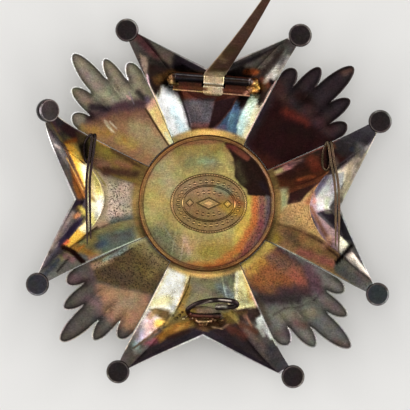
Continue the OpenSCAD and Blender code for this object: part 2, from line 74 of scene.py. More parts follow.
# Lines of half an arm, from the drum to the ball's neck: its side edge, and the crease that
# parts the panel from the side facet
side_root_turn, crease_root_turn = 30.5, 14.2
side_root = on_circle(root_r, side_root_turn)
side_neck = np.array([tip_spread - 0.4, tip_reach - 2])
side_bow = 0.25
crease_root = on_circle(root_r, crease_root_turn)
crease_neck = np.array([tip_spread - 2.4, tip_reach - 0.5])
crease_bow = 2.9
panel_end = 0.552
panel_inset, notch_crease_inset = 6.6, 2.4
panel_reach = notch_reach - panel_inset
notch_crease_reach = notch_reach - notch_crease_inset


def mix(a, b, s):
    return a + (b - a) * s


def ease(x):
    """Smooth step from 0 to 1."""
    x = np.clip(x, 0, 1)
    return x * x * (3 - 2 * x)


def rim_z(r):
    """Height of the star's domed back at a distance from its middle."""
    return rim_height + dome_rise * (r / tip_r) ** 2


def bowed_line(root, neck, bow, s):
    """Points of a line from the drum to a ball's neck that bows toward the arm's middle."""
    s = np.asarray(s)[..., None]
    return mix(root, neck, s) - np.array([bow, 0]) * 4 * s * (1 - s)


def side_edge(s):
    """Places on the arm's side edge, from the drum, 0, to the ball's neck, 1."""
    return bowed_line(side_root, side_neck, side_bow, s)


def crease(s):
    """Places on the crease between the panel and the side facet."""
    return bowed_line(crease_root, crease_neck, crease_bow, s)


def crease_depth(s):
    """How deep the crease lies below the arm's rim."""
    width = side_edge(s)[..., 0] - crease(s)[..., 0] - (side_neck[0] - crease_neck[0])
    return bevel_slope * np.maximum(0, width)


# Facets of the cross, for its tarnish
PANEL, NOTCH_FACET, EDGE, SIDE, RIM, BALL, BALL_RIM, FRONT = range(8)
# Rows of an arm from the drum to the notch: place on the crease, place on the middle line, bend
ARM_ROWS = np.array([
    # crease, middle line, bend
    [0.000, 0.00, 1.8],
    [0.030, 0.08, 1.8],
    [0.060, 0.17, 1.8],
    [0.105, 0.27, 1.8],
    [0.240, 0.50, 1.8],
    [0.400, 0.76, 1.8],
    [0.552, 1.00, 1.8],
    [0.660, 1.25, 1.6],
    [0.770, 1.50, 1.4],
    [0.870, 1.75, 1.2],
    [0.950, 2.00, 1.0],
    [1.000, 3.00, 1.0]])
# Rows of that table where the panel and the notch facet end, and the mesh rows of each part
panel_last, notch_last = 6, 10
panel_rows, notch_rows, edge_rows = 50, 34, 10
middle_columns, side_columns = 40, 15
# How the mesh crowds toward the notch's and the side's edge, and how the side facet is hollowed
edge_crowding, side_crowding, side_hollow = 1.6, 1.4, 1.15

# Arms, each with its direction and the dents of its two points: how far the tip is pushed
# across and outward, as shares of the arm's reach, and whether it is bent up
ARMS = [
    # direction, then for the left and the right tip: across, outward, bent
    (0, (-0.007, 0.003, 0), (0.010, 0.004, 0)),
    (90, (-0.002, -0.019, 0), (0.004, -0.056, 1)),
    (180, (0.029, 0.003, 0), (-0.016, 0.006, 0)),
    (270, (0.004, 0.003, 0), (-0.005, 0.019, 0))]


def dent(plan, tip):
    """How far a dented tip has pushed the sheet there: across, outward and up."""
    share = (np.clip((from_axis(plan) - root_r) / (tip_r - root_r), 0, 1)
             * np.clip(plan[..., 0] / tip_spread, 0, 1))
    push = tip_reach * share ** 4
    return np.stack([tip[0] * push, tip[1] * push, tip[2] * bent_tip_rise * share ** 2], axis=-1)


def half_arm(tip):
    """Back of one half of an arm, as a grid of points from its middle line to its side edge."""
    places = np.concatenate([
        np.linspace(0, panel_last, panel_rows, endpoint=False),
        np.linspace(panel_last, notch_last, notch_rows, endpoint=False),
        notch_last + (1 - (1 - np.linspace(0, 1, edge_rows + 1)) ** edge_crowding)])
    along, line, bend = (np.interp(places, range(len(ARM_ROWS)), ARM_ROWS[:, k]) for k in range(3))
    reach = np.interp(line, [0, 1, 2, 3], [root_r, panel_reach, notch_crease_reach, notch_reach])
    middle_depth = np.where(
        line <= 1, crease_depth(along) + panel_dish,
        np.interp(line, [1, 2, 3], [crease_depth(panel_end) + panel_dish, notch_crease_drop, 0]))

    s = np.linspace(0, 1, middle_columns + 1)
    edge = crease(along)
    x = edge[:, :1] * s
    y = mix(reach[:, None], edge[:, 1:], s ** bend[:, None])
    bow = np.where(line <= 1, 2.0, 1.0)[:, None]
    depth = mix(middle_depth[:, None], crease_depth(along)[:, None], s ** bow)

    f = (1 - (1 - np.linspace(0, 1, side_columns + 1)) ** side_crowding)[1:]
    side = mix(crease(along)[:, None], side_edge(along)[:, None], f[None, :, None])
    side_depth = crease_depth(along)[:, None] * (1 - f) ** side_hollow

    plan = np.concatenate([np.stack([x, y], axis=-1), side], axis=1)
    depth = np.concatenate([depth, side_depth], axis=1)
    height = rim_z(from_axis(plan)) - depth
    points = np.concatenate([plan, height[..., None]], axis=-1)
    return points + dent(plan, tip), line


def softened(height, turns):
    """Heights of a grid with their creases rounded, and the grid's rim as it was."""
    for _ in range(turns):
        inner = height[1:-1, 1:-1]
        around = height[:-2, 1:-1] + height[2:, 1:-1] + height[1:-1, :-2] + height[1:-1, 2:]
        height[1:-1, 1:-1] = inner * 0.5 + around * 0.125
    return height


def ripple(points, size, seed):
    """Smooth noise from -1 to 1 at each point, with features about as wide as size, in mm."""
    shift = Vector((17.3 * seed, 5.1 * seed, 2.7 * seed))
    flat = points.reshape(-1, points.shape[-1])
    values = [noise.noise(Vector(p) / size + shift) for p in flat.tolist()]
    return np.array(values).reshape(points.shape[:-1])


def waves(points, *kinds):
    """Sum of ripples, each with its size in mm, its seed and its height."""
    return sum(ripple(points, size, seed) * height for size, seed, height in kinds)


def turned(points, degrees):
    """Points turned about the star's axis."""
    a = math.radians(degrees)
    spin = np.array([[math.cos(a), math.sin(a), 0], [-math.sin(a), math.cos(a), 0], [0, 0, 1]])
    return points @ spin


def lifting(angle):
    """Matrix that turns points upward about the X axis."""
    return np.array([[1, 0, 0], [0, math.cos(angle), math.sin(angle)],
                     [0, -math.sin(angle), math.cos(angle)]])


def all_round(count):
    """Angles of one whole turn in equal steps."""
    return np.linspace(0, 2 * math.pi, count, endpoint=False)


def from_axis(points):
    return np.hypot(points[..., 0], points[..., 1])


def sheet(back, thickness):
    """Closed sheet from a grid of back points: points and faces."""
    rows, columns = back.shape[:2]
    count = rows * columns
    points = np.concatenate([back.reshape(-1, 3), back.reshape(-1, 3) - [0, 0, thickness]])
    a = (np.arange(rows - 1)[:, None] * columns + np.arange(columns - 1)).reshape(-1)
    top = np.stack([a, a + 1, a + columns + 1, a + columns], axis=1)
    rim = np.concatenate([
        np.arange(columns - 1),
        np.arange(rows - 1) * columns + columns - 1,
        (rows - 1) * columns + np.arange(columns - 1, 0, -1),
        np.arange(rows - 1, 0, -1) * columns])
    after = np.roll(rim, -1)
    walls = np.stack([rim, rim + count, after + count, after], axis=1)
    return points, np.concatenate([top, top[:, ::-1] + count, walls]).tolist()


def lathe(profile, segments):
    """Closed turned body from a profile of distance and height that ends on the axis."""
    profile = np.array(profile, dtype=float)
    a = all_round(segments)
    rings = profile[1:-1]
    points = np.stack([np.outer(rings[:, 0], np.cos(a)), np.outer(rings[:, 0], np.sin(a)),
                       np.repeat(rings[:, 1:], segments, axis=1)], axis=-1).reshape(-1, 3)
    points = np.concatenate([points, [[0, 0, profile[0, 1]], [0, 0, profile[-1, 1]]]])
    start, end = len(points) - 2, len(points) - 1
    last = (len(rings) - 1) * segments
    faces = []
    for k in range(segments):
        n = (k + 1) % segments
        faces.append([start, n, k])
        faces.append([end, last + k, last + n])
        faces += [[i * segments + k, i * segments + n, (i + 1) * segments + n, (i + 1) * segments + k]
                  for i in range(len(rings) - 1)]
    return points, faces


def joined(parts):
    """One set of points and faces from several."""
    points, faces, count = [], [], 0
    for part_points, part_faces in parts:
        points.append(part_points)
        faces += [[i + count for i in face] for face in part_faces]
        count += len(part_points)
    return np.concatenate(points), faces


# Where a point of the star lies in the photograph, in its 410 by 410 pixels
photo_size = 410
camera_height = 600.0
camera_place = np.array([-0.406, -0.387])
camera_roll = math.radians(1.77)
photo_width = 90.1
photo_plane = 8.0
focal_pixels = photo_size * (camera_height - photo_plane) / photo_width


def in_photo(points):
    """Column and row of points of the star, as the camera above it sees them."""
    flat = points[..., :2] - camera_place
    right = np.array([math.cos(camera_roll), math.sin(camera_roll)])
    up = np.array([-math.sin(camera_roll), math.cos(camera_roll)])
    scale = focal_pixels / (camera_height - points[..., 2])
    return np.stack([photo_size / 2 + flat @ right * scale, photo_size / 2 - flat @ up * scale], axis=-1)


def outside(spots, outline):
    """Distance of spots from an outline: from a line of two points, or less than 0 inside it."""
    away = np.full(len(spots), np.inf)
    inside = np.zeros(len(spots), dtype=bool)
    outline = np.array(outline, dtype=float)
    for a, b in zip(outline, np.roll(outline, -1, axis=0)):
        run, to = b - a, spots - a
        share = np.clip(to @ run / (run @ run), 0, 1)
        away = np.minimum(away, np.linalg.norm(to - share[:, None] * run, axis=1))
        spans = (a[1] > spots[:, 1]) != (b[1] > spots[:, 1])
        if run[1]:
            inside ^= spans & (to[:, 0] < to[:, 1] * run[0] / run[1])
    return np.where(inside, -away, away)


def coat_of(points, stains, ground, zones=None):
    """Colour and pitting of each point: a ground colour under stains that lie in the photograph, both
    tarnish and painted highlights, reflections and shadows.

    A stain is the facet it keeps to, if it keeps to one, its outline as columns and rows of the
    photograph, how far it reaches past that and how soft its edge is in pixels, its colour, and
    its cover. A colour is red, green, blue and, where the metal is pitted, how deeply, up to 255.
    """
    spots = in_photo(points)
    fray_share, cloud_share = 0.25, 0.06
    coat = np.tile(np.array([*ground, 0], dtype=float), (len(points), 1))
    fray = waves(points, (0.8, 11, 1), (0.35, 12, 0.7))
    for *facet, outline, reach, soft, colour, cover in stains:
        away = outside(spots, outline) - reach + fray_share * soft * fray
        weight = cover * ease(0.5 - away / (1.5 * soft))
        if facet:
            weight = weight * (zones == facet[0])
        coat[:, :len(colour)] += weight[:, None] * (np.array(colour) - coat[:, :len(colour)])
    coat[:, :3] *= 1 + cloud_share * waves(points, (2.6, 13, 1), (0.5, 14, 1))[:, None]
    return coat


def paint(mesh, coat):
    """Keep a coat of screen colours in a mesh as light, with the pitting in its fourth channel."""
    share = np.clip(coat, 0, 255) / 255
    light = np.where(share <= 0.04045, share / 12.92, ((share + 0.055) / 1.055) ** 2.4)
    light[:, 3] = share[:, 3]
    layer = mesh.color_attributes.new("tarnish_and_light", "FLOAT_COLOR", "POINT")
    layer.data.foreach_set("color", light.astype(np.float32).reshape(-1))


def tint(coat, colour, share):
    """Lay a colour over a coat, by a share at each point."""
    coat[:, :3] = mix(coat[:, :3], np.array(colour), share)


def placed(name, data):
    """New object in the scene."""
    item = bpy.data.objects.new(name, data)
    bpy.context.scene.collection.objects.link(item)
    return item


def build(name, shape, finish, coat, sharp=35):
    """Piece from points in mm and faces, in its finish and painted with its coat.

    It is smooth but for the edges that are sharper than that angle, in degrees.
    """
    mesh = bpy.data.meshes.new(name)
    mesh.from_pydata((shape[0] * MM).tolist(), [], shape[1])
    mesh.shade_smooth()
    mesh.set_sharp_from_angle(angle=math.radians(sharp))
    mesh.validate()
    paint(mesh, coat)
    mesh.materials.append(finish)
    return placed(name, mesh)


def coated(name, shape, finish, ground, stains=(), sharp=35):
    """Piece in its finish, in its ground colour under its stains."""
    return build(name, shape, finish, coat_of(shape[0], stains, ground), sharp)


def metal(name, rough, mottle=0.25, scratch=0.8, grain=0.3):
    """Finish of a metal: its painted colours under mottling, pits, fine scratches and grain."""
    finish = bpy.data.materials.new(name)
    finish.use_nodes = True
    nodes, links = finish.node_tree.nodes, finish.node_tree.links
    shader = nodes["Principled BSDF"]
    painted = nodes.new("ShaderNodeAttribute")
    painted.attribute_name = "tarnish_and_light"
    place = nodes.new("ShaderNodeTexCoord").outputs["Object"]

    def give(socket, value):
        if hasattr(value, "links"):
            links.new(value, socket)
        else:
            socket.default_value = value

    def spread(value, low, high, to_low=0, to_high=1):
        node = nodes.new("ShaderNodeMapRange")
        fields = {"Value": value, "From Min": low, "From Max": high, "To Min": to_low, "To Max": to_high}
        for field, given in fields.items():
            give(node.inputs[field], given)
        return node.outputs["Result"]

    def figure(scale, detail, stretch=(1, 1, 1), turn=0, output="Fac"):
        # Noise, its scale in each metre
        mapping = nodes.new("ShaderNodeMapping")
        give(mapping.inputs["Rotation"], (0, 0, math.radians(turn)))
        give(mapping.inputs["Scale"], stretch)
        give(mapping.inputs["Vector"], place)
        node = nodes.new("ShaderNodeTexNoise")
        give(node.inputs["Scale"], scale)
        give(node.inputs["Detail"], detail)
        give(node.inputs["Vector"], mapping.outputs["Vector"])
        return node.outputs[output]

    def worked_out(operation, *values):
        node = nodes.new("ShaderNodeMath")
        node.operation = operation
        for socket, value in zip(node.inputs, values):
            give(socket, value)
        return node.outputs[0]

    def sum_of(one, two, factor):
        return worked_out("MULTIPLY_ADD", two, factor, one)

    def product(one, two):
        return worked_out("MULTIPLY", one, two)

    def over(kind, share, base, top):
        node = nodes.new("ShaderNodeMix")
        node.data_type = "RGBA"
        node.blend_type = kind
        sockets = node.inputs["Factor"], node.inputs[6], node.inputs[7]
        for socket, value in zip(sockets, (share, base, top)):
            give(socket, value)
        return node.outputs[2]

    # Clouds and fine mottling, pits, and scratches and scuffs that cross each other in patches
    cloud = figure(520, 6)
    fine = figure(3600, 3, turn=15)
    pits = product(spread(figure(3000, 2), 0.52, 0.62),
                   sum_of(spread(cloud, 0.35, 0.7, 0, 0.07), painted.outputs["Alpha"], 0.93))
    scratches = product(spread(figure(1, 2, (700, 8000, 700), 28), 0.58, 0.72),
                        spread(figure(160, 2), 0.42, 0.58))
    scuffs = product(spread(figure(1, 2, (800, 9000, 800), -52), 0.6, 0.74),
                     spread(figure(130, 2, turn=40), 0.46, 0.6))
    marks = sum_of(scratches, scuffs, 1)
    # Colour, roughness and bump, each from all of these
    colour = over("OVERLAY", mottle, painted.outputs["Color"], figure(430, 5, turn=70, output="Color"))
    colour = over("MULTIPLY", 1, colour, spread(cloud, 0.3, 0.7, 1 - 0.5 * mottle, 1 + 0.5 * mottle))
    colour = over("MULTIPLY", 1, colour, spread(fine, 0.3, 0.7, 1 - 1.3 * mottle, 1 + 1.3 * mottle))
    colour = over("MIX", spread(pits, 0, 1, 0, 0.85), colour, (0.02, 0.014, 0.01, 1))
    colour = over("MULTIPLY", 1, colour, spread(marks, 0, 1, 1, 1 + scratch))
    give(shader.inputs["Metallic"], 1)
    give(shader.inputs["Base Color"], colour)
    roughness = sum_of(spread(cloud, 0.3, 0.7, rough - 0.07, rough + 0.1), pits, 0.25)
    give(shader.inputs["Roughness"], roughness)
    height = sum_of(sum_of(figure(1500, 5), pits, -0.9), marks, -0.5)
    bump = nodes.new("ShaderNodeBump")
    give(bump.inputs["Strength"], grain)
    give(bump.inputs["Distance"], 0.06 * MM)
    give(bump.inputs["Height"], height)
    give(shader.inputs["Normal"], bump.outputs["Normal"])
    return finish


ball_sides, ball_rings = 48, 22
ball_sink = 0.6
# Angle before the cut where a ball tip's round ends, and depths of its flat half way in and in the middle
ball_round_end = 0.06
ball_half_way_dish, ball_middle_dish = 0.05, 0.06
# Edge of that flat
BALL_FLAT_EDGE = [
    # inward, down
    (0.03, 0.03),
    (ball_fillet, 0),
    (0.32, 0.01),
    (0.5, 0.02)]
# Rings of a ball tip's mesh that make its rim
ball_rim_from, ball_rim_to = 20, 23


def ball(tip):
    """Ball tip on a right half arm: round in front, cut flat behind."""
    cut_angle = math.asin(ball_cut / ball_r)
    flat_r = ball_r * math.cos(cut_angle)
    profile = [(ball_r * math.cos(a), ball_r * math.sin(a))
               for a in np.linspace(-math.pi / 2, cut_angle - ball_round_end, ball_rings)]
    profile[0] = (0, -ball_r)
    profile += [(flat_r - inward, ball_cut - down) for inward, down in BALL_FLAT_EDGE]
    profile += [(flat_r / 2, ball_cut - ball_half_way_dish), (0, ball_cut - ball_middle_dish)]
    points, faces = lathe(profile, ball_sides)
    place = np.array([tip_spread, tip_reach])
    middle = np.array([*place, rim_z(tip_r) - ball_sink]) + dent(place, tip)
    return points @ lifting(bent_tip_turn * tip[2]) + middle, faces


def mirrored(shape):
    """A right half's shape as the left half has it."""
    points, faces = shape
    return points * [-1, 1, 1], [face[::-1] for face in faces]


cross_parts = []
cross_zones = []
# Mesh rows and columns of an arm that make its rim, and how far its outermost points are worn down
rim_rows, rim_columns, rim_worn = 4, 2, 0.07
for direction, left_tip, right_tip in ARMS:
    right, line = half_arm(right_tip)
    left, _ = half_arm(left_tip)
    back = np.concatenate([left[:, :0:-1] * [-1, 1, 1], right], axis=1)
    back[..., 2] = softened(back[..., 2], 2)
    turned_back = turned(back, direction)
    turned_back[1:-1, 1:-1, 2] += waves(turned_back, (5.0, 1, 0.05), (1.6, 2, 0.018))[1:-1, 1:-1]
    for rim in (turned_back[-1], turned_back[:, 0], turned_back[:, -1]):
        rim[:, 2] -= rim_worn
    cross_parts.append(sheet(turned_back, cross_sheet))
    across = np.abs(np.arange(-middle_columns - side_columns, middle_columns + side_columns + 1))
    zone = np.where(line[:, None] <= 1, PANEL, np.where(line[:, None] <= 2, NOTCH_FACET, EDGE))
    zone = np.where(across[None, :] > middle_columns, SIDE, zone * np.ones_like(across)[None, :])
    zone[-rim_rows:] = RIM
    zone[:, :rim_columns] = zone[:, -rim_columns:] = RIM
    cross_zones += [zone.reshape(-1), np.full(zone.size, FRONT)]
    for shape in (ball(right_tip), mirrored(ball(left_tip))):
        cross_parts.append((turned(shape[0], direction), shape[1]))
        ring = np.arange(len(shape[0])) // ball_sides
        cross_zones.append(np.where((ring >= ball_rim_from) & (ring < ball_rim_to), BALL_RIM, BALL))
drum_edge = 0.1
drum_profile = [
    # distance, height
    (0, drum_floor),
    (drum_r, drum_floor),
    (drum_r, seat_z - drum_edge),
    (drum_r - drum_edge, seat_z),
    (drum_r - drum_wall, seat_z),
    (drum_r - drum_wall, drum_floor + cross_sheet),
    (0, drum_floor + cross_sheet)]
cross_parts.append(lathe(drum_profile, 120))
cross_zones.append(np.full(len(cross_parts[-1][0]), PANEL))

# Tarnish of the cross's back, with painted light: pale and white facets are painted reflections of the soft
# boxes, the darkest patches partly painted dark reflections, and some dark lines painted shadows
CROSS_TARNISH_AND_LIGHT = [
    # facet where it keeps to one, outline in the photograph, reach, softness, colour, cover
    # Top arm, ground of its facets
    (SIDE, [(120, 20), (300, 20), (250, 150), (165, 150)], 12, 1, (50, 40, 38), 1),
    (PANEL, [(170, 60), (244, 60), (240, 150), (174, 150)], 6, 1, (78, 44, 35), 1),
    (NOTCH_FACET, [(127, 32), (207, 72), (300, 32), (240, 100), (175, 100)], 4, 1, (50, 42, 42), 1),
    (EDGE, [(127, 32), (207, 72), (300, 32)], 12, 1, (56, 50, 50), 1),
    # Top arm, left point
    (SIDE, [(128, 32), (150, 62)], 12, 6, (74, 65, 62), 1),
    ([(137, 37), (163, 63)], 4, 4, (82, 50, 50), 0.9),
    ([(148, 39), (174, 53.5), (170, 64), (164, 62.5)], 0, 2, (104, 94, 84), 1),
    ([(162, 58), (170, 62)], 3, 4, (126, 104, 84), 0.7),
    ([(176, 55), (206, 70), (206, 78), (172, 70)], 0, 2.5, (36, 30, 34), 1),
    ([(176, 72), (204, 75)], 3, 4, (78, 56, 32), 0.8),
    ([(139.5, 54), (149, 58), (146, 80), (143, 72)], 0, 2, (160, 140, 120), 1),
    ([(149, 64), (160, 64), (172, 70), (174, 88), (160, 90), (155, 96),
      (148, 72)], 0, 2.5, (40, 28, 24), 1),
    ([(150, 60), (164, 65)], 3, 4, (32, 32, 28), 0.8),
    ([(157, 80), (172, 74)], 4, 5, (122, 84, 40), 0.7),
    # Top arm, left side facet, its white and pale blue a painted reflection of a soft box
    ([(162, 85), (171, 87.5), (178, 95), (184, 107.5), (188.5, 122), (192, 135), (190, 142), (172, 148),
      (155, 98)], 0, 1.5, (250, 250, 244), 1),
    ([(175, 113), (184, 132)], 4, 5, (200, 230, 238), 0.7),
    ([(168, 92), (173, 108)], 3, 5, (206, 232, 246), 0.6),
    ([(166, 128), (172, 140)], 3, 5, (200, 224, 206), 0.6),
    ([(172, 144), (192, 138)], 2, 3, (245, 226, 150), 0.8),
    ([(161, 88), (158, 97)], 0.9, 1.5, (64, 48, 30), 0.8),
    ([(160, 79), (170, 79)], 2, 3, (128, 98, 58), 0.8),
    # Top arm, panel
    ([(178, 90), (242, 94), (240, 104), (184, 104)], 0, 3, (84, 44, 34), 1),
    ([(182, 101), (214, 99), (212, 124), (190, 126)], 1, 4, (86, 78, 84, 140), 1),
    ([(194, 106), (206, 118)], 4, 6, (110, 100, 101, 140), 0.7),
    ([(194, 125), (210, 125)], 2, 4, (136, 84, 78), 0.8),
    ([(215, 101), (236, 97), (231, 108), (222, 119.5), (211, 131), (208, 130)], 0, 1.6, (38, 23, 24), 1),
    ([(237, 99), (240, 110), (238, 124), (241, 138), (214, 132), (222, 121),
      (231, 110)], 0, 2, (64, 84, 108), 1),
    ([(232, 116), (230, 132)], 3, 4, (98, 132, 148, 80), 0.7),
    ([(216, 130), (223, 128)], 3, 4, (106, 86, 112), 0.8),
    ([(239, 95), (248, 98), (244, 105), (239, 110)], 0, 1.5, (24, 15, 14), 1),
    ([(178, 95), (185, 110)], 0.9, 0.9, (24, 16, 18), 1),
    ([(185, 110), (188.8, 121)], 0.9, 0.9, (22, 20, 28), 1),
    ([(188.8, 121), (192.6, 136)], 0.9, 0.9, (28, 18, 16), 1),
    ([(182, 138), (188, 136)], 2, 3, (246, 224, 172), 0.7),
    # Top arm, V facets to the right
    ([(246, 65), (283, 44), (288, 48), (263, 67), (246, 70)], 0, 2.5, (96, 87, 78), 1),
    ([(247, 66), (263, 66)], 2.5, 3, (104, 96, 84), 0.8),
    ([(246, 72), (256, 72)], 3, 3, (162, 82, 45), 0.95),
    ([(230, 66), (258, 54)], 3, 3, (34, 30, 30), 0.9),
    (EDGE, [(236, 60), (286, 40)], 3, 2, (78, 72, 68), 1),
    # Top arm, right point and side facet, the facet's pale green and cream a painted reflection
    (SIDE, [(300, 35), (282, 56)], 9, 5, (62, 55, 53), 1),
    ([(284, 50), (268, 66)], 2, 2.5, (52, 42, 38), 0.9),
    ([(286, 50), (291, 57), (284, 71), (273, 82), (264.5, 80.5), (267, 74),
      (279, 61)], -0.4, 3, (222, 216, 204), 1),
    ([(282, 56), (266, 73)], 1, 2, (74, 66, 60), 0.85),
    ([(289, 58), (276, 80)], 0.7, 1.5, (150, 142, 132), 0.6),
    ([(269.5, 79), (275, 84), (270, 90)], 1.5, 1.5, (24, 20, 20), 1),
    ([(262, 80), (268, 86)], 3, 3, (122, 64, 46), 0.8),
    ([(271, 75), (264.5, 82)], 2, 2, (214, 196, 180), 0.9),
    ([(289, 49), (281, 64)], 3, 4, (76, 71, 67), 0.9),
    ([(282, 66), (279, 72)], 2.5, 3, (136, 128, 120), 0.6),
    ([(261, 85), (264, 90)], 2, 2.5, (150, 108, 62), 0.8),
    ([(264, 92), (250, 116)], 4, 4, (52, 34, 28), 0.7),
    ([(251.5, 92), (258, 95), (261, 104), (266, 104), (244, 150), (236, 142), (238, 124), (242, 112),
      (248, 102)], 0, 1.5, (206, 224, 200), 1),
    ([(260, 108), (246, 140)], 5, 4, (247, 230, 180), 0.95),
    ([(243, 112), (240, 132)], 2.5, 4, (182, 224, 226), 0.7),
    ([(257, 96), (262, 97), (260, 109), (257.5, 104)], 0, 1.2, (34, 30, 22), 1),
    ([(253, 94), (257, 97)], 1.5, 2, (150, 146, 112), 0.8),
    ([(251, 100), (253, 108)], 0.7, 1.2, (120, 130, 110), 0.7),
    (SIDE, [(273, 86), (243, 147)], 1.2, 1.2, (232, 204, 190), 1),
    # Left arm, ground of its facets
    (SIDE, [(49, 108), (152, 150), (152, 200), (90, 180)], 6, 1, (152, 124, 64), 1),
    (NOTCH_FACET, [(46, 118), (106, 200), (40, 280)], 6, 1, (66, 58, 60), 1),
    (EDGE, [(46, 118), (74, 202), (40, 280)], 8, 1, (74, 68, 66), 1),
    (PANEL, [(84, 150), (150, 150), (150, 260), (84, 260)], 6, 1, (150, 132, 104), 1),
    (SIDE, [(92, 232), (150, 212), (150, 250), (36, 290)], 8, 1, (152, 140, 96), 1),
    # Left arm, upper point
    ([(49, 111), (72, 130)], 8, 4, (54, 46, 50), 1),
    ([(53, 121), (60, 134)], 2, 3, (84, 56, 66), 0.8),
    ([(66, 128), (80, 138)], 5, 4, (54, 32, 32), 0.95),
    ([(62, 134), (66, 142)], 3, 4, (50, 44, 46), 0.8),
    ([(76, 132), (91, 136), (90, 150), (79, 150)], 0, 3, (72, 60, 38), 1),
    ([(66, 143), (75, 140)], 2, 2.5, (128, 72, 28), 1),
    ([(65, 144), (74, 145), (81, 156), (90, 168), (90, 192), (85, 190),
      (76, 168)], 0, 1.8, (226, 164, 62), 1),
    ([(76, 154), (80, 160)], 2.5, 4, (214, 186, 92), 0.8),
    ([(80, 164), (88, 162), (90, 188), (85, 186)], 0, 4, (248, 238, 200), 1),
    # Painted shadow under the left hook's foot loop
    ([(79, 145), (87, 142), (89, 160), (83, 158)], 0.5, 2, (28, 21, 14), 1),
    ([(65, 149), (85.5, 190)], 0.6, 1, (112, 62, 20), 0.8),
    # Left arm, V facets
    ([(55, 145), (60, 148)], 1.2, 1.5, (150, 130, 124), 0.9),
    ([(61, 152), (72, 180)], 3, 4, (86, 80, 74), 0.9),
    ([(70, 164), (78, 176), (87, 198), (78, 200), (73, 186)], 0, 2, (142, 86, 42), 1),
    ([(67, 158), (83, 190)], 0.6, 1, (220, 168, 92), 0.8),
    ([(66, 170), (74, 196)], 1.2, 2, (96, 84, 72), 0.8),
    ([(73, 199), (84, 201), (80, 210), (72, 208)], 0.5, 2, (44, 34, 44), 1),
    ([(44, 258), (72, 212), (77, 214), (62, 244)], 0, 2, (112, 100, 96), 1),
    ([(45, 255), (73, 213)], 1.8, 2, (162, 142, 130), 0.9),
    ([(76, 216), (82, 212)], 2.5, 2.5, (196, 128, 84), 0.95),
    ([(80, 208), (86, 214)], 2.5, 2.5, (208, 178, 84), 0.9),
    ([(77, 209), (80, 212)], 2, 2, (92, 72, 50), 0.8),
    ([(50, 252), (64, 254)], 2.5, 3, (58, 50, 46), 0.8),
    ([(83, 216), (84, 222)], 2, 2, (98, 88, 46), 0.9),
    ([(84, 217), (78, 226), (68, 239), (56, 252), (60, 240), (74, 224)], 0.5, 2, (34, 26, 40), 1),
    ([(58, 250), (40, 276)], 3, 3, (62, 60, 66), 0.8),
    # Left arm, crescent at the panel's end, its pale and yellow tones a painted reflection of a soft box
    (NOTCH_FACET, [(88, 160), (108, 180), (108, 226), (88, 240)], 1, 2, (170, 162, 138), 1),
    (NOTCH_FACET, [(94, 172), (100, 196)], 4, 5, (162, 144, 78), 0.9),
    (NOTCH_FACET, [(90, 180), (91, 200)], 2.5, 3, (150, 128, 74), 0.8),
    (NOTCH_FACET, [(92, 198), (95, 201)], 1.5, 2, (82, 62, 36), 0.7),
    (NOTCH_FACET, [(101, 198), (99, 212)], 3, 5, (184, 178, 168), 0.9),
    (NOTCH_FACET, [(91, 216), (94, 224)], 3, 4, (212, 196, 112), 0.9),
    # Painted shadow under the left hook's wires
    ([(94, 144), (90, 168), (87, 192)], 0.3, 1.4, (74, 56, 38), 0.8),
    ([(87, 192), (88, 216), (89, 236)], 0.3, 1.4, (84, 66, 44), 0.7),
    # Left arm, upper side facet
    (SIDE, [(96, 146), (112, 152)], 3, 6, (164, 144, 60), 0.7),
    (SIDE, [(96, 162), (106, 166)], 5, 4, (154, 112, 88), 0.9),
    (SIDE, [(116, 162), (130, 166)], 3, 5, (162, 104, 82), 0.8),
    ([(106, 171), (146, 175)], 4, 4, (86, 58, 46), 0.95),
    ([(97, 169), (107, 168)], 0.8, 1.2, (70, 50, 30), 0.8),
    ([(94, 169), (106, 186)], 0.7, 1, (120, 104, 50), 0.8),
    (SIDE, [(112, 150), (146, 170)], 2, 3, (78, 54, 36), 0.8),
    (SIDE, [(92, 150), (94, 155)], 2, 3, (130, 110, 80), 0.7),
    # Left arm, panel
    (PANEL, [(108, 182), (130, 182), (130, 216), (106, 222), (109, 206)], 0, 5, (200, 178, 156, 255), 1),
    (PANEL, [(112, 190), (126, 206)], 5, 5, (174, 156, 132, 255), 0.8),
    (PANEL, [(110, 180), (116, 184)], 3, 4, (146, 140, 112), 0.7),
    (PANEL, [(134, 178), (142, 186)], 4, 5, (122, 58, 34), 0.9),
    (PANEL, [(100, 224), (112, 230)], 5, 5, (162, 130, 102), 0.8),
    (PANEL, [(112, 218), (131, 216), (136, 242), (108, 240)], 1, 5, (106, 114, 102, 140), 0.95),
    # Left arm, lower side facet and point
    ([(64, 245), (70, 247.5), (86.5, 234.5), (86, 222), (79, 227.5)], 0, 1.2, (248, 192, 80), 1),
    ([(79, 229), (86, 222), (86.5, 234)], 0.5, 3, (253, 240, 196), 0.95),
    ([(64, 245), (68, 241)], 1.5, 2.5, (210, 98, 62), 0.9),
    ([(71, 248), (86.5, 235)], 1.2, 1, (30, 20, 16), 1),
    ([(86.5, 234.5), (97, 227)], 1, 1, (50, 38, 26), 0.9),
    ([(88, 237), (98, 229)], 0.7, 1, (60, 48, 32), 0.8),
    (SIDE, [(76, 248), (94, 258)], 5, 4, (178, 130, 62), 1),
    (SIDE, [(90, 242), (97, 236)], 4, 5, (168, 150, 92), 0.8),
    ([(78, 250), (84.5, 244.5)], 0.8, 1.2, (216, 130, 60), 0.9),
    (SIDE, [(98, 236), (132, 228), (136, 244), (102, 252)], 1, 4, (112, 122, 110, 90), 0.95),
    (SIDE, [(98, 246), (104, 243)], 3, 4, (86, 96, 106), 0.9),
    ([(112, 236), (130, 233)], 1.2, 2, (92, 92, 76), 0.7),
    (SIDE, [(84, 261), (97, 258)], 3.5, 4, (168, 128, 112), 0.9),
    ([(38, 282), (80, 262)], 9, 3, (108, 104, 98), 1),
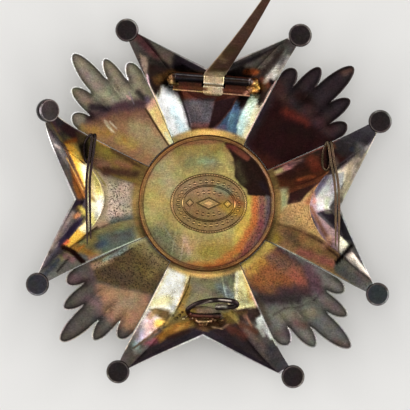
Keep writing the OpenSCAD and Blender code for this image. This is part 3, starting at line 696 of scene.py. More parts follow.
    ([(66, 256), (73, 260)], 3, 3, (156, 110, 114), 0.85),
    ([(76, 262), (84, 266)], 3, 3, (122, 112, 98), 0.8),
    ([(38, 282), (58, 260)], 2.5, 3, (66, 68, 78), 0.9),
    ([(63, 247), (73, 252)], 2.4, 1.2, (36, 20, 14), 1),
    ([(73, 252), (83.5, 262.5)], 2.6, 1.2, (32, 17, 14), 1),
    ([(69, 257.5), (57, 272)], 0.7, 1, (24, 20, 20), 1),
    # Right arm, ground of its facets
    (SIDE, [(264, 176), (380, 116), (340, 170), (280, 200)], 6, 1, (60, 34, 30), 1),
    (NOTCH_FACET, [(376, 126), (306, 205), (376, 290)], 6, 1, (56, 50, 50), 1),
    (EDGE, [(376, 126), (338, 205), (376, 290)], 8, 1, (72, 68, 66), 1),
    (PANEL, [(264, 150), (342, 150), (342, 260), (264, 260)], 6, 1, (180, 142, 94, 60), 1),
    (SIDE, [(264, 220), (340, 250), (384, 300), (264, 250)], 8, 1, (150, 114, 74, 120), 1),
    # Right arm, upper point
    ([(380, 121), (348, 142)], 13, 4, (58, 54, 57), 1),
    ([(359, 146), (367, 149)], 3, 4, (116, 108, 106), 0.9),
    ([(336, 144), (354, 156)], 7, 4, (54, 46, 46), 0.9),
    ([(352, 149), (360, 153)], 2.5, 2, (48, 50, 62), 0.9),
    ([(355.5, 154.5), (363, 160), (341, 206), (338, 206), (336, 172)], 0, 1.5, (210, 196, 170), 1),
    (EDGE, [(366, 156), (342, 202)], 3, 2, (150, 138, 118), 0.9),
    ([(352, 164), (346, 184)], 2.5, 4, (186, 166, 136), 0.8),
    ([(358, 152), (357, 163)], 4, 4, (112, 102, 90), 0.85),
    ([(334, 159), (337, 164)], 2.5, 3, (122, 106, 94), 0.8),
    ([(354, 155), (341, 168)], 1.5, 2, (118, 110, 108), 0.8),
    # Right arm, upper side facet
    (SIDE, [(294, 156), (314, 152)], 4, 6, (44, 42, 38), 0.9),
    (SIDE, [(322, 142), (330, 146)], 4, 4, (156, 84, 42), 0.95),
    ([(312, 160), (322, 176)], 6, 6, (120, 56, 38), 0.9),
    ([(280, 184), (296, 190)], 5, 5, (112, 62, 34), 0.9),
    ([(298, 172), (318, 168)], 2.5, 3, (102, 46, 32), 0.8),
    ([(293, 174), (308, 170)], 2.5, 3, (48, 28, 22), 0.9),
    (SIDE, [(268, 176), (290, 163), (303, 159), (290, 168.5), (272, 177)], 0.5, 1.2, (200, 140, 128), 1),
    (SIDE, [(269, 176), (281, 170)], 2, 2, (214, 192, 126), 0.95),
    (SIDE, [(289, 165), (303, 161)], 1.5, 2, (72, 48, 52), 0.8),
    (SIDE, [(326, 147), (331, 146), (331.5, 165), (327, 166)], 0, 1.5, (20, 13, 12), 1),
    # Right arm, panel
    ([(276, 182), (330, 168), (322, 182), (300, 194), (276, 193)], 0, 3.5, (88, 48, 31), 1),
    ([(278, 178), (310, 174)], 2.5, 4, (62, 36, 26), 0.8),
    ([(298, 180), (314, 176)], 1.2, 2, (170, 90, 52), 0.9),
    ([(290, 193.5), (318, 183), (306, 194), (300, 201.5), (287, 204)], 0.5, 1.3, (48, 28, 25), 1),
    ([(296, 184), (312, 180)], 1.5, 2, (72, 36, 28), 0.8),
    (PANEL, [(277, 188), (288, 188), (287, 206), (279, 212)], 0, 4, (168, 166, 120), 1),
    (PANEL, [(274, 206), (275, 224)], 3, 4, (166, 150, 92), 0.9),
    (PANEL, [(308, 202), (318, 188)], 3, 4, (172, 112, 76), 0.8),
    (PANEL, [(298, 212), (312, 226)], 8, 8, (186, 146, 94, 150), 0.8),
    # Right arm, crescent at the panel's end, its pale tones a painted reflection
    (NOTCH_FACET, [(324, 176), (344, 172), (342, 210), (308, 212), (312, 196)], 0, 1.5, (152, 151, 146), 1),
    (NOTCH_FACET, [(315, 194), (326, 177)], 2.6, 3, (88, 80, 98), 0.9),
    (NOTCH_FACET, [(313, 202), (314, 212)], 3.5, 3.5, (142, 116, 118), 0.95),
    ([(313, 192), (314, 202)], 1.8, 2.5, (140, 98, 82), 0.9),
    (NOTCH_FACET, [(327, 198), (326, 210)], 2, 3, (138, 146, 118), 0.8),
    (NOTCH_FACET, [(332, 178), (335, 200)], 2, 4, (140, 132, 138), 0.7),
    (NOTCH_FACET, [(312, 212), (338, 209), (338, 252), (322, 240)], 0.5, 1.2, (136, 110, 112), 1),
    (NOTCH_FACET, [(311, 208), (330, 243)], 2, 2.5, (94, 62, 46), 0.9),
    (NOTCH_FACET, [(317, 213), (324, 210.5), (336, 210.5), (337, 231)], 0.3, 1.2, (26, 21, 26), 1),
    (NOTCH_FACET, [(320, 214.5), (333, 227)], 1.2, 2, (68, 62, 66), 0.8),
    (NOTCH_FACET, [(325, 212), (333, 212)], 1.2, 2, (110, 112, 88), 0.6),
    # Right arm, V facets and lower point
    ([(338, 207), (343, 207), (356, 232), (352, 244), (338, 236)], 0, 2, (38, 35, 39), 1),
    (EDGE, [(342, 208), (374, 280)], 4, 3, (62, 62, 64), 1),
    ([(340, 235.5), (349, 243.5), (340, 254.5), (338, 246)], 0, 1.2, (228, 222, 198), 1),
    ([(349, 242), (352, 249)], 2, 2, (92, 86, 80), 0.8),
    ([(353, 252.5), (378, 286), (371, 284), (345, 256.5)], 0, 1.5, (230, 216, 200), 1),
    ([(358, 252), (366, 264), (378, 285)], 1, 2.5, (104, 98, 94), 0.9),
    ([(276, 238), (270, 234)], 5, 5, (170, 144, 60), 0.9),
    (SIDE, [(300, 238), (318, 246)], 4, 6, (178, 132, 80, 60), 0.8),
    (SIDE, [(288, 234), (298, 244)], 4, 6, (98, 76, 58, 200), 0.7),
    (SIDE, [(300, 252), (334, 264)], 4, 4, (172, 102, 86), 0.9),
    ([(377, 292), (342, 268)], 8, 3, (94, 92, 86), 1),
    ([(342, 262), (352, 268)], 4, 4, (110, 110, 92), 0.8),
    ([(345, 259), (369, 279)], 0.9, 1.2, (46, 40, 38), 0.9),
    ([(350, 268), (366, 280)], 1.5, 3, (112, 96, 88), 0.7),
    ([(372, 288), (376, 292)], 3, 4, (78, 88, 106), 0.8),
    ([(337, 262), (351, 246)], 2.3, 1, (12, 8, 8), 1),
    ([(276, 223.5), (293, 229)], 0.7, 1, (84, 60, 40), 0.7),
    ([(293, 229), (319, 240)], 0.7, 1, (84, 56, 40), 0.8),
    ([(319, 240), (338, 257)], 0.8, 1, (60, 34, 28), 0.9),
    ([(324, 246), (330, 239)], 3, 4, (186, 138, 110), 0.7),
    # Bottom arm, ground of its facets
    (SIDE, [(166, 260), (172, 330), (112, 376)], 12, 1, (84, 74, 66), 1),
    (PANEL, [(176, 256), (242, 256), (246, 336), (166, 336)], 6, 1, (134, 126, 92), 1),
    (NOTCH_FACET, [(118, 374), (204, 300), (292, 380)], 8, 1, (58, 48, 50), 1),
    (EDGE, [(118, 372), (204, 330), (292, 378)], 8, 1, (46, 38, 44), 1),
    (SIDE, [(240, 256), (236, 330), (298, 380)], 12, 1, (78, 68, 64), 1),
    # Bottom arm, left side facet, its white, yellow and pale pink a painted reflection of a soft box
    ([(166, 262), (190, 270), (188.5, 284), (178, 306), (172, 317), (166, 324), (134, 347.5),
      (124, 346)], 0, 1.3, (255, 250, 232), 1),
    ([(165, 270), (150, 302)], 3, 4, (242, 216, 154), 0.9),
    ([(188, 274), (186, 286)], 2, 3, (236, 206, 130), 0.8),
    ([(156, 302), (168, 300)], 5, 5, (252, 236, 166), 0.8),
    ([(142, 332), (153, 316)], 5.5, 5, (238, 204, 208), 0.95),
    ([(131, 345), (141, 334)], 5.5, 5, (198, 200, 218), 0.95),
    ([(157, 324), (168, 320)], 4, 3.5, (242, 192, 90), 0.95),
    ([(150, 326), (154, 330)], 3, 4, (232, 176, 150), 0.7),
    ([(130, 343), (136, 346)], 4, 3, (162, 182, 172), 0.85),
    ([(150, 310), (158, 308), (171, 311), (169, 322), (160, 318)], 0.3, 1.5, (94, 76, 46), 1),
    ([(153, 310), (160, 313)], 1, 1.5, (130, 108, 64), 0.7),
    ([(134, 348), (172, 318)], 1, 1.2, (70, 46, 24), 0.9),
    ([(178, 307), (190, 278)], 0.7, 1, (80, 60, 32), 0.8),
    ([(128, 346), (134, 336)], 4, 5, (96, 92, 86), 0.95),
    ([(136, 336), (140, 326)], 3, 5, (144, 126, 118), 0.8),
    ([(146, 334), (150, 324)], 3, 4, (214, 172, 164), 0.7),
    ([(150, 317), (155, 312)], 3, 3, (170, 134, 90), 0.85),
    ([(112, 362), (126, 352)], 8, 3, (80, 72, 68), 1),
    # Bottom arm, panel
    (PANEL, [(188, 288), (180, 308)], 3.5, 4, (192, 150, 74), 0.9),
    ([(220, 288), (232, 296)], 5, 6, (128, 142, 140), 0.85),
    ([(198, 288), (212, 294)], 6, 6, (130, 120, 100), 0.7),
    ([(228, 276), (236, 290)], 4, 5, (122, 124, 92), 0.8),
    ([(180, 308), (204, 308), (208, 322), (184, 330), (164, 326)], 0, 4, (160, 130, 66), 0.95),
    ([(200, 312), (220, 314)], 4, 4, (164, 146, 110), 0.7),
    ([(199, 311), (214, 309)], 2.5, 3, (176, 152, 124), 0.9),
    ([(222, 314), (236, 310), (240, 322), (226, 326)], 0, 4, (136, 112, 58), 0.9),
    ([(192, 318), (226, 320), (222, 327), (204, 331), (196, 326)], 0.5, 1.5, (92, 66, 44), 1),
    ([(194, 327), (208, 331.5)], 0.6, 1.5, (120, 92, 60), 0.8),
    ([(212, 327), (222, 328.8)], 0.7, 1, (214, 180, 136), 0.9),
    ([(222, 328.6), (228, 324.6)], 0.8, 1.2, (222, 186, 146), 0.9),
    ([(225, 315), (232, 312)], 1.5, 3, (150, 126, 60), 0.8),
    # Bottom arm, right side facet, its pale yellow a painted reflection
    ([(236, 268), (244, 262), (262, 302), (261, 308), (236, 309.5),
      (234.5, 290)], 0, 1.5, (250, 236, 166), 1),
    ([(237, 272), (236.5, 300)], 1.2, 2, (250, 244, 216), 0.8),
    ([(246, 274), (251, 298)], 3, 3.5, (253, 206, 116), 0.9),
    ([(254, 292), (259, 304)], 3.5, 3, (240, 176, 172), 0.95),
    ([(236, 309), (262, 306), (264, 316), (256, 322), (240, 322)], 0, 1.5, (48, 36, 32), 1),
    ([(238, 313), (246, 312)], 2, 3, (84, 62, 34), 0.8),
    ([(245, 316), (252, 326)], 1.2, 1.5, (156, 108, 84), 0.8),
    ([(255, 320), (263, 314), (278, 340), (270, 339)], 0, 1.5, (214, 216, 206), 1),
    ([(258, 326), (264, 335)], 2, 2.5, (184, 184, 176), 0.9),
    ([(240, 324), (256, 332)], 3, 3, (76, 46, 34), 0.9),
    ([(292, 377), (276, 352)], 10, 5, (60, 56, 58), 1),
    # Bottom arm, V facets
    ([(155, 338), (166, 328), (177, 322), (190, 322), (188, 328), (172, 336),
      (160, 342)], 0, 3, (180, 124, 58), 1),
    ([(172, 322), (182, 318)], 2.5, 3, (146, 122, 74), 0.9),
    ([(172, 316), (177, 312)], 2, 3, (100, 84, 54), 0.8),
    ([(190.6, 273), (188.4, 287)], 0.5, 1, (84, 64, 34), 0.9),
    ([(188.4, 287), (177, 310)], 0.5, 1, (76, 58, 30), 0.9),
    ([(164, 330), (171, 327)], 1.6, 2, (204, 160, 78), 0.8),
    ([(176, 330), (184, 326)], 1.6, 2, (206, 158, 84), 0.8),
    ([(147, 345), (155, 341)], 3, 3, (158, 86, 100), 0.9),
    ([(168, 338), (188, 331)], 2, 3, (66, 40, 34), 0.8),
    ([(136, 352), (147, 347)], 2.5, 3, (112, 110, 104), 0.8),
    ([(230, 328), (244, 336)], 4, 5, (118, 66, 52), 0.8),
    ([(246, 330), (262, 344)], 2, 3, (92, 76, 66), 0.8),
    (EDGE, [(130, 366), (190, 342)], 1.5, 2, (70, 60, 66), 0.8),
    # Edges of the sheet: painted highlights along them, and painted shadow lines where they are dark
    (RIM, [(140, 34), (206, 70)], 6, 1, (150, 145, 142), 0.9),
    (RIM, [(208, 71), (290, 37)], 5, 1, (196, 190, 180), 0.9),
    (RIM, [(133, 34), (146, 70)], 5, 2, (70, 58, 54), 1),
    ([(147, 75), (149.5, 87)], 0.9, 1, (250, 206, 206), 1),
    ([(149.5, 87), (157, 100)], 1, 1, (252, 222, 206), 1),
    (RIM, [(158, 100), (166, 144)], 4, 2, (226, 200, 140), 1),
    (RIM, [(273, 85), (243, 146)], 5, 2, (222, 184, 172), 1),
    (RIM, [(60, 115), (92, 134)], 4, 2, (124, 114, 102), 1),
    (RIM, [(92, 134), (112, 146)], 4, 2, (170, 126, 72), 1),
    (RIM, [(114, 147), (148, 167)], 4, 2, (72, 50, 34), 1),
    (RIM, [(46, 122), (56, 156)], 6, 1, (236, 232, 226), 1),
    (RIM, [(56, 156), (74, 200)], 6, 1, (212, 209, 203), 1),
    (RIM, [(74, 206), (38, 276)], 6, 1, (178, 168, 162), 1),
    (RIM, [(38, 284), (90, 266)], 5, 2, (120, 116, 110), 1),
    (RIM, [(90, 266), (140, 240)], 5, 2, (170, 176, 156), 1),
    (RIM, [(378, 130), (340, 206)], 6, 1, (180, 170, 150), 0.9),
    (RIM, [(268, 173), (336, 136)], 4, 2, (120, 72, 60), 1),
    (RIM, [(341, 208), (378, 284)], 5, 1, (204, 204, 202), 0.9),
    (RIM, [(272, 247), (320, 268)], 4, 2, (160, 158, 138), 1),
    (RIM, [(320, 268), (372, 290)], 4, 2, (110, 108, 100), 1),
    (RIM, [(168, 264), (122, 346)], 5, 2, (246, 224, 200), 1),
    (RIM, [(242, 266), (258, 296)], 4, 2, (236, 200, 140), 1),
    (RIM, [(258, 296), (276, 342)], 4, 2, (190, 186, 176), 1),
    (RIM, [(126, 370), (204, 337)], 5, 1, (228, 223, 218), 1),
    (RIM, [(205, 337), (284, 375)], 5, 1, (188, 183, 180), 1),
    # Ball tips, dark from tarnish and a painted dark reflection, with painted highlights on one side of
    # their rims
    (BALL, [(205, 200), (205, 210)], 260, 1, (35, 30, 30), 1),
    (BALL, [(376, 292), (381, 295)], 12, 2, (46, 48, 50), 1),
    (BALL, [(35, 283), (39, 286)], 12, 2, (45, 45, 48), 1),
    (BALL_RIM, [(205, 200), (205, 210)], 260, 1, (78, 70, 67), 1),
    (BALL_RIM, [(122, 18), (137, 22), (139, 32)], 0, 4, (166, 160, 156), 1),
    (BALL_RIM, [(298, 24), (311, 30), (309, 44)], 0, 4, (150, 142, 136), 1),
    (BALL_RIM, [(40, 102), (40, 120)], 2, 4, (150, 146, 144), 1),
    (BALL_RIM, [(372, 110), (390, 114), (392, 124)], 0, 4, (164, 160, 156), 1),
    (BALL_RIM, [(26, 292), (36, 296), (46, 292)], 0, 4, (132, 134, 138), 1),
    (BALL_RIM, [(372, 304), (388, 302), (390, 290)], 0, 4, (168, 170, 172), 1),
    (BALL_RIM, [(106, 376), (116, 383), (122, 366)], 0, 4, (140, 130, 122), 1),
    (BALL_RIM, [(288, 388), (300, 386), (304, 376)], 0, 4, (158, 154, 150), 1)]
# Ring of the arms beside the disc that kept its gilding: outer distance, fade, cover, colour
gilt_to, gilt_fade, gilt_cover, gilt_colour = 17.0, 1.0, 0.9, (164, 130, 74)
# Painted light on that ring and on the disc's rim: how bright they are beside the right, top, left and
# bottom arm, and in the notches between the arms
RING_PAINTED_LIGHT = (0.85, 1.7, 1.0, 1.6), 0.6
DISC_RIM_PAINTED_LIGHT = (0.9, 0.95, 0.85, 0.65), 1.2


def painted_ring_light(points, light_by_place):
    """Painted brightness at each point, standing in for light and shade: its arm's, going over to the
    notches' at either side.
    """
    by_arm, in_notches = light_by_place
    direction = np.degrees(np.arctan2(points[:, 1], points[:, 0]))
    arm = np.round(direction / 90).astype(int) % 4
    at_arm = 0.5 + 0.5 * np.cos(np.radians(4 * direction))
    return (at_arm * np.array(by_arm)[arm] + (1 - at_arm) * in_notches)[:, None]


# Painted shadow on the back round the disc: how dark, how far out it reaches, and its fade
disc_shadow, disc_shadow_to, disc_shadow_fade = 0.38, drum_r + 0.9, 0.6
# Share of that painted shadow at the middle's height, and how fast it grows below
disc_shadow_level, disc_shadow_growth = 0.4, 1.5


def disc_shade(points):
    """Painted shadow on the back close round the disc, darker below it."""
    low = np.clip(disc_shadow_level - disc_shadow_growth * points[:, 1] / drum_r, 0, 1)
    return (1 - disc_shadow * low * ease((disc_shadow_to - from_axis(points)) / disc_shadow_fade))[:, None]


def plain_front(points, colour, seed):
    """Colour of a struck sheet's front, a little cloudy."""
    return np.array(colour) * (1 + waves(points, (5, seed, 0.12)))[:, None]


cross_points, cross_faces = joined(cross_parts)
cross_zones = np.concatenate(cross_zones)
cross_coat = coat_of(cross_points, CROSS_TARNISH_AND_LIGHT, ground=(96, 88, 76), zones=cross_zones)
from_middle = from_axis(cross_points)
gilt = gilt_cover * ease((gilt_to - from_middle) / gilt_fade)[:, None]
tint(cross_coat, gilt_colour * painted_ring_light(cross_points, RING_PAINTED_LIGHT), gilt)
cross_coat[:, :3] *= disc_shade(cross_points)
# Painted shadow: a thin dark ring on the arms at the drum's edge, beside the disc
drum_edge_shadow, drum_edge_shadow_w = (78, 50, 30), 0.06
cross_coat[from_middle < drum_r + drum_edge_shadow_w, :3] = drum_edge_shadow
front = cross_zones == FRONT
cross_coat[front, :3] = plain_front(cross_points[front], colour=(172, 168, 158), seed=21)

tarnished_silver = metal("tarnished_silver", 0.3)
star_cross = build("star_cross", (cross_points, cross_faces), tarnished_silver, cross_coat)
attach(star_cross, "star")
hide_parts("cross_shell")

# The rays.
# Four fans, each struck from one piece of thinner sheet: a hollow field that runs out into five
# long hollow rays with raised edges. They are soldered behind the arms, a little lower.

ray_reach = 44.0
ray_sheet = 0.7
ray_gap = 0.15
ray_drop = 0.35
fan_dish = 0.9
ray_dish = 0.4
ray_rim = 0.13
ray_rim_width = 0.32
fan_root = drum_r + 0.2
fan_bound = tip_r - 4
ray_start = 0.62 * ray_reach
ray_full = 0.74 * ray_reach
# Rays of one fan: place of the ray's middle and half its width as shares of half the fan, length
RAYS = [
    # middle, half width, length
    (-0.802, 0.198, 0.805),
    (-0.414, 0.190, 0.884),
    (0.000, 0.224, 1.000),
    (0.414, 0.190, 0.884),
    (0.802, 0.198, 0.805)]
# Notches between the rays: place across the fan and distance from the middle of the star
NOTCHES = [(0.224, 0.800), (0.604, 0.734), (1.0, 0.750)]
ray_columns, fan_rows, fan_crowding = 28, 80, 1.25
ray_roundness, ray_end_worn = 0.66, 0.04
# Fans: direction, how far the long ray is bent aside in degrees, and its length
FANS = {
    "rays_ne": (-45, 0.3, 1.0),
    "rays_nw": (45, 1.3, 1.005),
    "rays_sw": (135, 0.0, 1.005),
    "rays_se": (-135, -1.5, 1.018)}


def fan_angle(r):
    """Half the angle of a fan at a distance from the middle, clear of the arms."""
    share = (r - np.hypot(*side_root)) / (np.hypot(*side_neck) - np.hypot(*side_root))
    edge = side_edge(share)
    return 45 - np.degrees(np.arctan2(edge[..., 0], edge[..., 1])) - np.degrees(ray_gap / r)


def fan_back(bent, length):
    """Back of one fan as a grid of points, drum to tips, and their distance from the tips' edge."""
    columns = [(ray, math.sin(math.radians(90 * (2 * k / ray_columns - 1))))
               for ray in RAYS for k in range(0 if ray is RAYS[0] else 1, ray_columns + 1)]
    across = np.array([ray[0] + x * ray[1] for ray, x in columns])
    x = np.array([x for _, x in columns])
    notch = np.interp(np.abs(across), *zip(*NOTCHES))
    tip = np.array([ray[2] for ray, _ in columns])
    end = ray_reach * length * mix(notch, tip, (1 - x * x) ** ray_roundness)
    rows = 1 - (1 - np.linspace(0, 1, fan_rows)) ** fan_crowding
    r = mix(fan_root, end[None, :], rows[:, None])
    middle_share = 1 - across[None, :] ** 2
    out = np.clip((r - fan_root) / (ray_full - fan_root), 0, 1)
    angle = np.radians(across[None, :] * fan_angle(np.minimum(r, fan_bound))
                       + bent * middle_share * ((r - fan_root) / (ray_reach - fan_root)) ** 2)
    plan = np.stack([r * np.sin(angle), r * np.cos(angle)], axis=-1)
    to_edge = np.full(r.shape, np.inf)
    for a, b in zip(plan[-1], plan[-1, 1:]):
        to = plan - a
        share = np.clip(to @ (b - a) / ((b - a) @ (b - a)), 0, 1)[..., None]
        to_edge = np.minimum(to_edge, np.linalg.norm(to - share * (b - a), axis=-1))
    hollow = (fan_dish * middle_share * np.sin(math.pi * out)
              + ray_dish * (1 - x * x)[None, :] * ease((r - ray_start) / (ray_full - ray_start)))
    rim = ray_rim * np.exp(-(to_edge / ray_rim_width) ** 4) - ray_end_worn * (to_edge < 1e-6)
    height = rim_z(r) - ray_drop - hollow + rim
    return np.concatenate([plan, height[..., None]], axis=-1), to_edge


# Tarnish of the fans, with painted highlights, reflections and shadows
FAN_TARNISH_AND_LIGHT = {
    # outline in the photograph, reach, softness, colour, cover
    "rays_nw": [
        ([(60, 45), (130, 60), (146, 100), (70, 128), (50, 110)], 2, 4, (118, 110, 94), 1),
        ([(74, 60), (100, 92)], 4, 8, (134, 118, 108), 0.8),
        ([(110, 66), (124, 88)], 4, 8, (128, 116, 96), 0.7),
        ([(80, 96), (90, 104)], 4, 6, (120, 102, 86), 0.8),
        ([(100, 96), (130, 94)], 6, 9, (140, 136, 112), 0.9),
        ([(90, 112), (104, 110), (118, 103), (136, 100), (150, 100), (152, 112), (120, 120),
          (84, 126)], 1, 5, (66, 48, 50), 1),
        ([(92, 107), (108, 109)], 3.5, 4, (38, 30, 34), 0.9),
        ([(86, 124), (112, 114), (152, 108), (176, 144), (120, 158), (90, 136)], 1, 7, (112, 80, 60), 1),
        ([(90, 132), (122, 122), (150, 122), (176, 146), (146, 172), (100, 146)], 0, 9, (134, 99, 70), 1),
        ([(84, 129), (108, 133)], 4, 6, (142, 108, 56), 0.9),
        ([(140, 130), (166, 150)], 10, 12, (142, 126, 92), 0.85),
        ([(120, 138), (132, 146)], 5, 7, (156, 132, 64), 0.7),
        ([(123, 138), (126, 141)], 1, 3, (136, 96, 44), 0.8),
        ([(105, 121), (112, 131)], 1.6, 1.5, (170, 146, 122), 0.8),
        ([(110, 122), (116, 128)], 0.7, 1, (196, 176, 150), 0.8),
        ([(107, 126), (114, 132)], 0.6, 1, (200, 184, 160), 0.8),
        ([(129, 92), (134, 104)], 0.5, 1, (128, 112, 122), 0.8),
        ([(127, 96), (130, 99)], 0.8, 1.5, (200, 150, 140), 0.8),
        ([(138, 92), (144, 98)], 2.5, 3, (38, 34, 32), 0.9),
        ([(135, 62), (148, 92)], 3, 5, (104, 98, 80), 0.7),
        ([(147, 98), (150, 106)], 2, 4, (96, 76, 96), 0.8),
        # Painted reflection on the strip beside the left arm's edge, pink at its top
        ([(147, 108), (158, 98), (178, 144), (168, 146)], 0, 1.5, (220, 190, 126), 1),
        ([(149, 107), (156, 100)], 3, 4, (216, 162, 138), 0.95),
        ([(156, 112), (161, 122)], 2.5, 4, (222, 176, 118), 0.7),
        ([(166, 134), (173, 144)], 2, 3, (200, 206, 170), 0.8),
        ([(145.5, 109), (156, 126)], 0.9, 1, (58, 42, 26), 0.95),
        ([(156, 126), (169, 146)], 0.9, 1, (50, 36, 24), 0.95)],
    "rays_ne": [
        ([(250, 130), (290, 60), (360, 60), (360, 150), (270, 180)], 10, 4, (41, 33, 35), 1),
        ([(276, 84), (284, 104)], 7, 8, (58, 36, 32), 0.8),
        ([(250, 145), (276, 100), (300, 118), (330, 140), (272, 174)], 2, 8, (33, 16, 16), 1),
        ([(300, 96), (309, 102)], 6, 8, (30, 16, 14), 0.8),
        ([(286, 126), (312, 134)], 6, 8, (28, 16, 15), 0.9),
        ([(286, 112), (306, 121)], 4, 7, (88, 36, 28), 0.9),
        ([(308, 112), (330, 128)], 6, 8, (58, 36, 36), 0.8),
        ([(256, 158), (276, 168)], 6, 8, (60, 28, 20), 0.8),
        ([(344, 72), (352, 70)], 3, 5, (96, 66, 56), 0.8),
        ([(262, 108), (256, 122)], 3, 4, (46, 34, 44), 0.8)],
    "rays_sw": [
        ([(60, 270), (120, 250), (170, 300), (120, 350), (60, 350)], 10, 4, (77, 70, 65), 1),
        ([(80, 316), (106, 326)], 5, 8, (78, 73, 69), 0.8),
        ([(70, 280), (92, 276)], 6, 5, (84, 68, 66), 0.9),
        ([(92, 300), (100, 306)], 6, 9, (122, 98, 98), 0.8),
        ([(98, 284), (122, 288), (150, 294), (148, 318), (134, 336), (104, 312)], 0, 7, (148, 112, 86), 1),
        ([(118, 302), (134, 300)], 6, 10, (138, 122, 94), 0.8),
        ([(100, 290), (114, 298)], 5, 7, (160, 116, 88), 0.7),
        ([(112, 318), (118, 322)], 5, 8, (152, 108, 92), 0.7),
        ([(92, 262), (140, 244), (170, 262), (152, 293), (122, 286),
          (98, 280)], 1, 4, (86, 70, 46, 230), 1),
        ([(106, 272), (126, 280)], 6, 7, (72, 57, 46, 255), 0.8),
        ([(142, 246), (164, 262)], 7, 8, (122, 108, 70), 0.9),
        ([(138, 262), (146, 270)], 5, 7, (96, 80, 44), 0.7),
        ([(148, 276), (156, 270)], 4, 6, (124, 104, 60), 0.7),
        ([(94, 266), (110, 260)], 3, 3, (158, 128, 100), 0.9),
        ([(104, 260), (122, 253), (140, 240)], 1.5, 2.5, (142, 150, 138), 0.9),
        ([(130, 247), (148, 238)], 2, 3, (138, 130, 92), 0.9),
        ([(121, 255), (133, 248)], 0.8, 1, (56, 48, 34), 0.9)],
    "rays_se": [
        ([(250, 300), (290, 250), (360, 270), (360, 350), (280, 350)], 10, 4, (98, 94, 88), 1),
        ([(318, 318), (344, 340)], 6, 8, (88, 86, 84), 0.8),
        ([(338, 342), (350, 346)], 4, 5, (92, 78, 70), 0.8),
        ([(278, 334), (288, 334)], 4, 6, (84, 68, 68), 0.8),
        ([(296, 322), (304, 326)], 4, 5, (88, 62, 58), 0.8),
        ([(322, 298), (340, 312)], 5, 7, (90, 76, 72), 0.7),
        ([(272, 314), (312, 302)], 8, 8, (98, 98, 88), 0.9),
        ([(284, 318), (312, 314)], 5, 7, (116, 106, 86), 0.8),
        ([(248, 250), (272, 240), (322, 280), (312, 296), (270, 300),
          (250, 290)], 0, 6, (66, 48, 48, 100), 1),
        ([(246, 262), (270, 246), (302, 270), (290, 286), (254, 286)], 0, 7, (128, 78, 48, 140), 1),
        ([(270, 256), (296, 272)], 6, 7, (104, 78, 66, 180), 0.8),
        ([(292, 272), (302, 280)], 6, 7, (142, 82, 64, 130), 0.9),
        ([(308, 268), (318, 290)], 5, 6, (92, 66, 74), 0.8),
        ([(248, 276), (270, 292)], 6, 9, (142, 88, 50), 0.7),
        ([(258, 299), (298, 299)], 5, 6, (48, 42, 42, 120), 0.95),
        ([(246, 262), (268, 244)], 7, 6, (172, 148, 74, 50), 0.95),
        ([(250, 272), (262, 262)], 4, 6, (186, 142, 62, 70), 0.7),
        ([(258, 300), (268, 322)], 3, 4, (66, 56, 46), 0.8),
        ([(273, 315.5), (284, 308.5)], 0.7, 1.2, (58, 52, 46), 0.9),
        ([(284, 308.5), (300, 307)], 0.7, 1.2, (62, 56, 48), 0.9),
        ([(300, 307), (313, 301.5)], 0.7, 1.2, (66, 58, 52), 0.9),
        ([(313, 301.5), (322, 291)], 0.7, 1.2, (60, 48, 52), 0.9)]}
# Colour of the painted highlights on the rays' raised edges, their width, and the painted shade inside them
RAY_EDGE_HIGHLIGHTS = {
    "rays_ne": (72, 62, 60),
    "rays_nw": (246, 245, 240),
    "rays_sw": (182, 174, 166),
    "rays_se": (178, 174, 168)}
ray_edge_w = 0.22
edge_shade, edge_shade_w = 0.35, 1.6
far_from_edge = 9.0

for fan, (direction, bent, length) in FANS.items():
    back, to_edge = fan_back(bent, length)
    back = turned(back, direction)
    back[1:-1, 1:-1, 2] += waves(back, (4.0, 3, 0.06), (1.3, 4, 0.02))[1:-1, 1:-1]
    fan_points, fan_faces = sheet(back, ray_sheet)
    fan_coat = coat_of(fan_points, FAN_TARNISH_AND_LIGHT[fan], ground=(120, 110, 90))
    to_edge = np.concatenate([to_edge.reshape(-1), np.full(to_edge.size, far_from_edge)])[:, None]
    fan_coat[:, :3] *= (1 - edge_shade * ease(1 - to_edge / edge_shade_w)) * disc_shade(fan_points)
    tint(fan_coat, RAY_EDGE_HIGHLIGHTS[fan], ease(1.5 - to_edge / ray_edge_w))
    front = np.arange(len(fan_points)) >= back[..., 0].size
    fan_coat[front, :3] = plain_front(fan_points[front], colour=(176, 172, 162), seed=22)
    fan_piece = build(f"star_{fan}", (fan_points, fan_faces), tarnished_silver, fan_coat)
    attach(fan_piece, "star")
    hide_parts(fan)

# The cover disc.
# A round plate of gilt silver, spun slightly domed, that closes the drum and lies on its wall.
# Its edge is turned: a narrow groove and a rounded rim. The groove is painted dark, and a painted shadow
# runs round the disc's side.

disc_r = 14.9
disc_bottom = seat_z + 0.05
disc_top = disc_bottom + 1.0
land_r = 8.9
disc_rings, edge_rings, disc_segments = 64, 12, 330
first_ring_r, flat_to, edge_from, under_ring_r = 0.3, 14.0, 14.08, 13.3
disc_side_h, disc_sway = 0.3, 0.05
groove_r, groove_w = 14.12, 0.13
disc_rim_from, disc_rim_fade = 14.2, 0.15
# Colours of the dark groove, the rim and the painted shadow on the side, the cover of the first two, and
# that shadow's width
groove_dark, rim_gilding, side_shadow = (66, 40, 24), (134, 94, 54), (96, 62, 36)
edge_cover, side_shadow_w = 0.8, 0.08
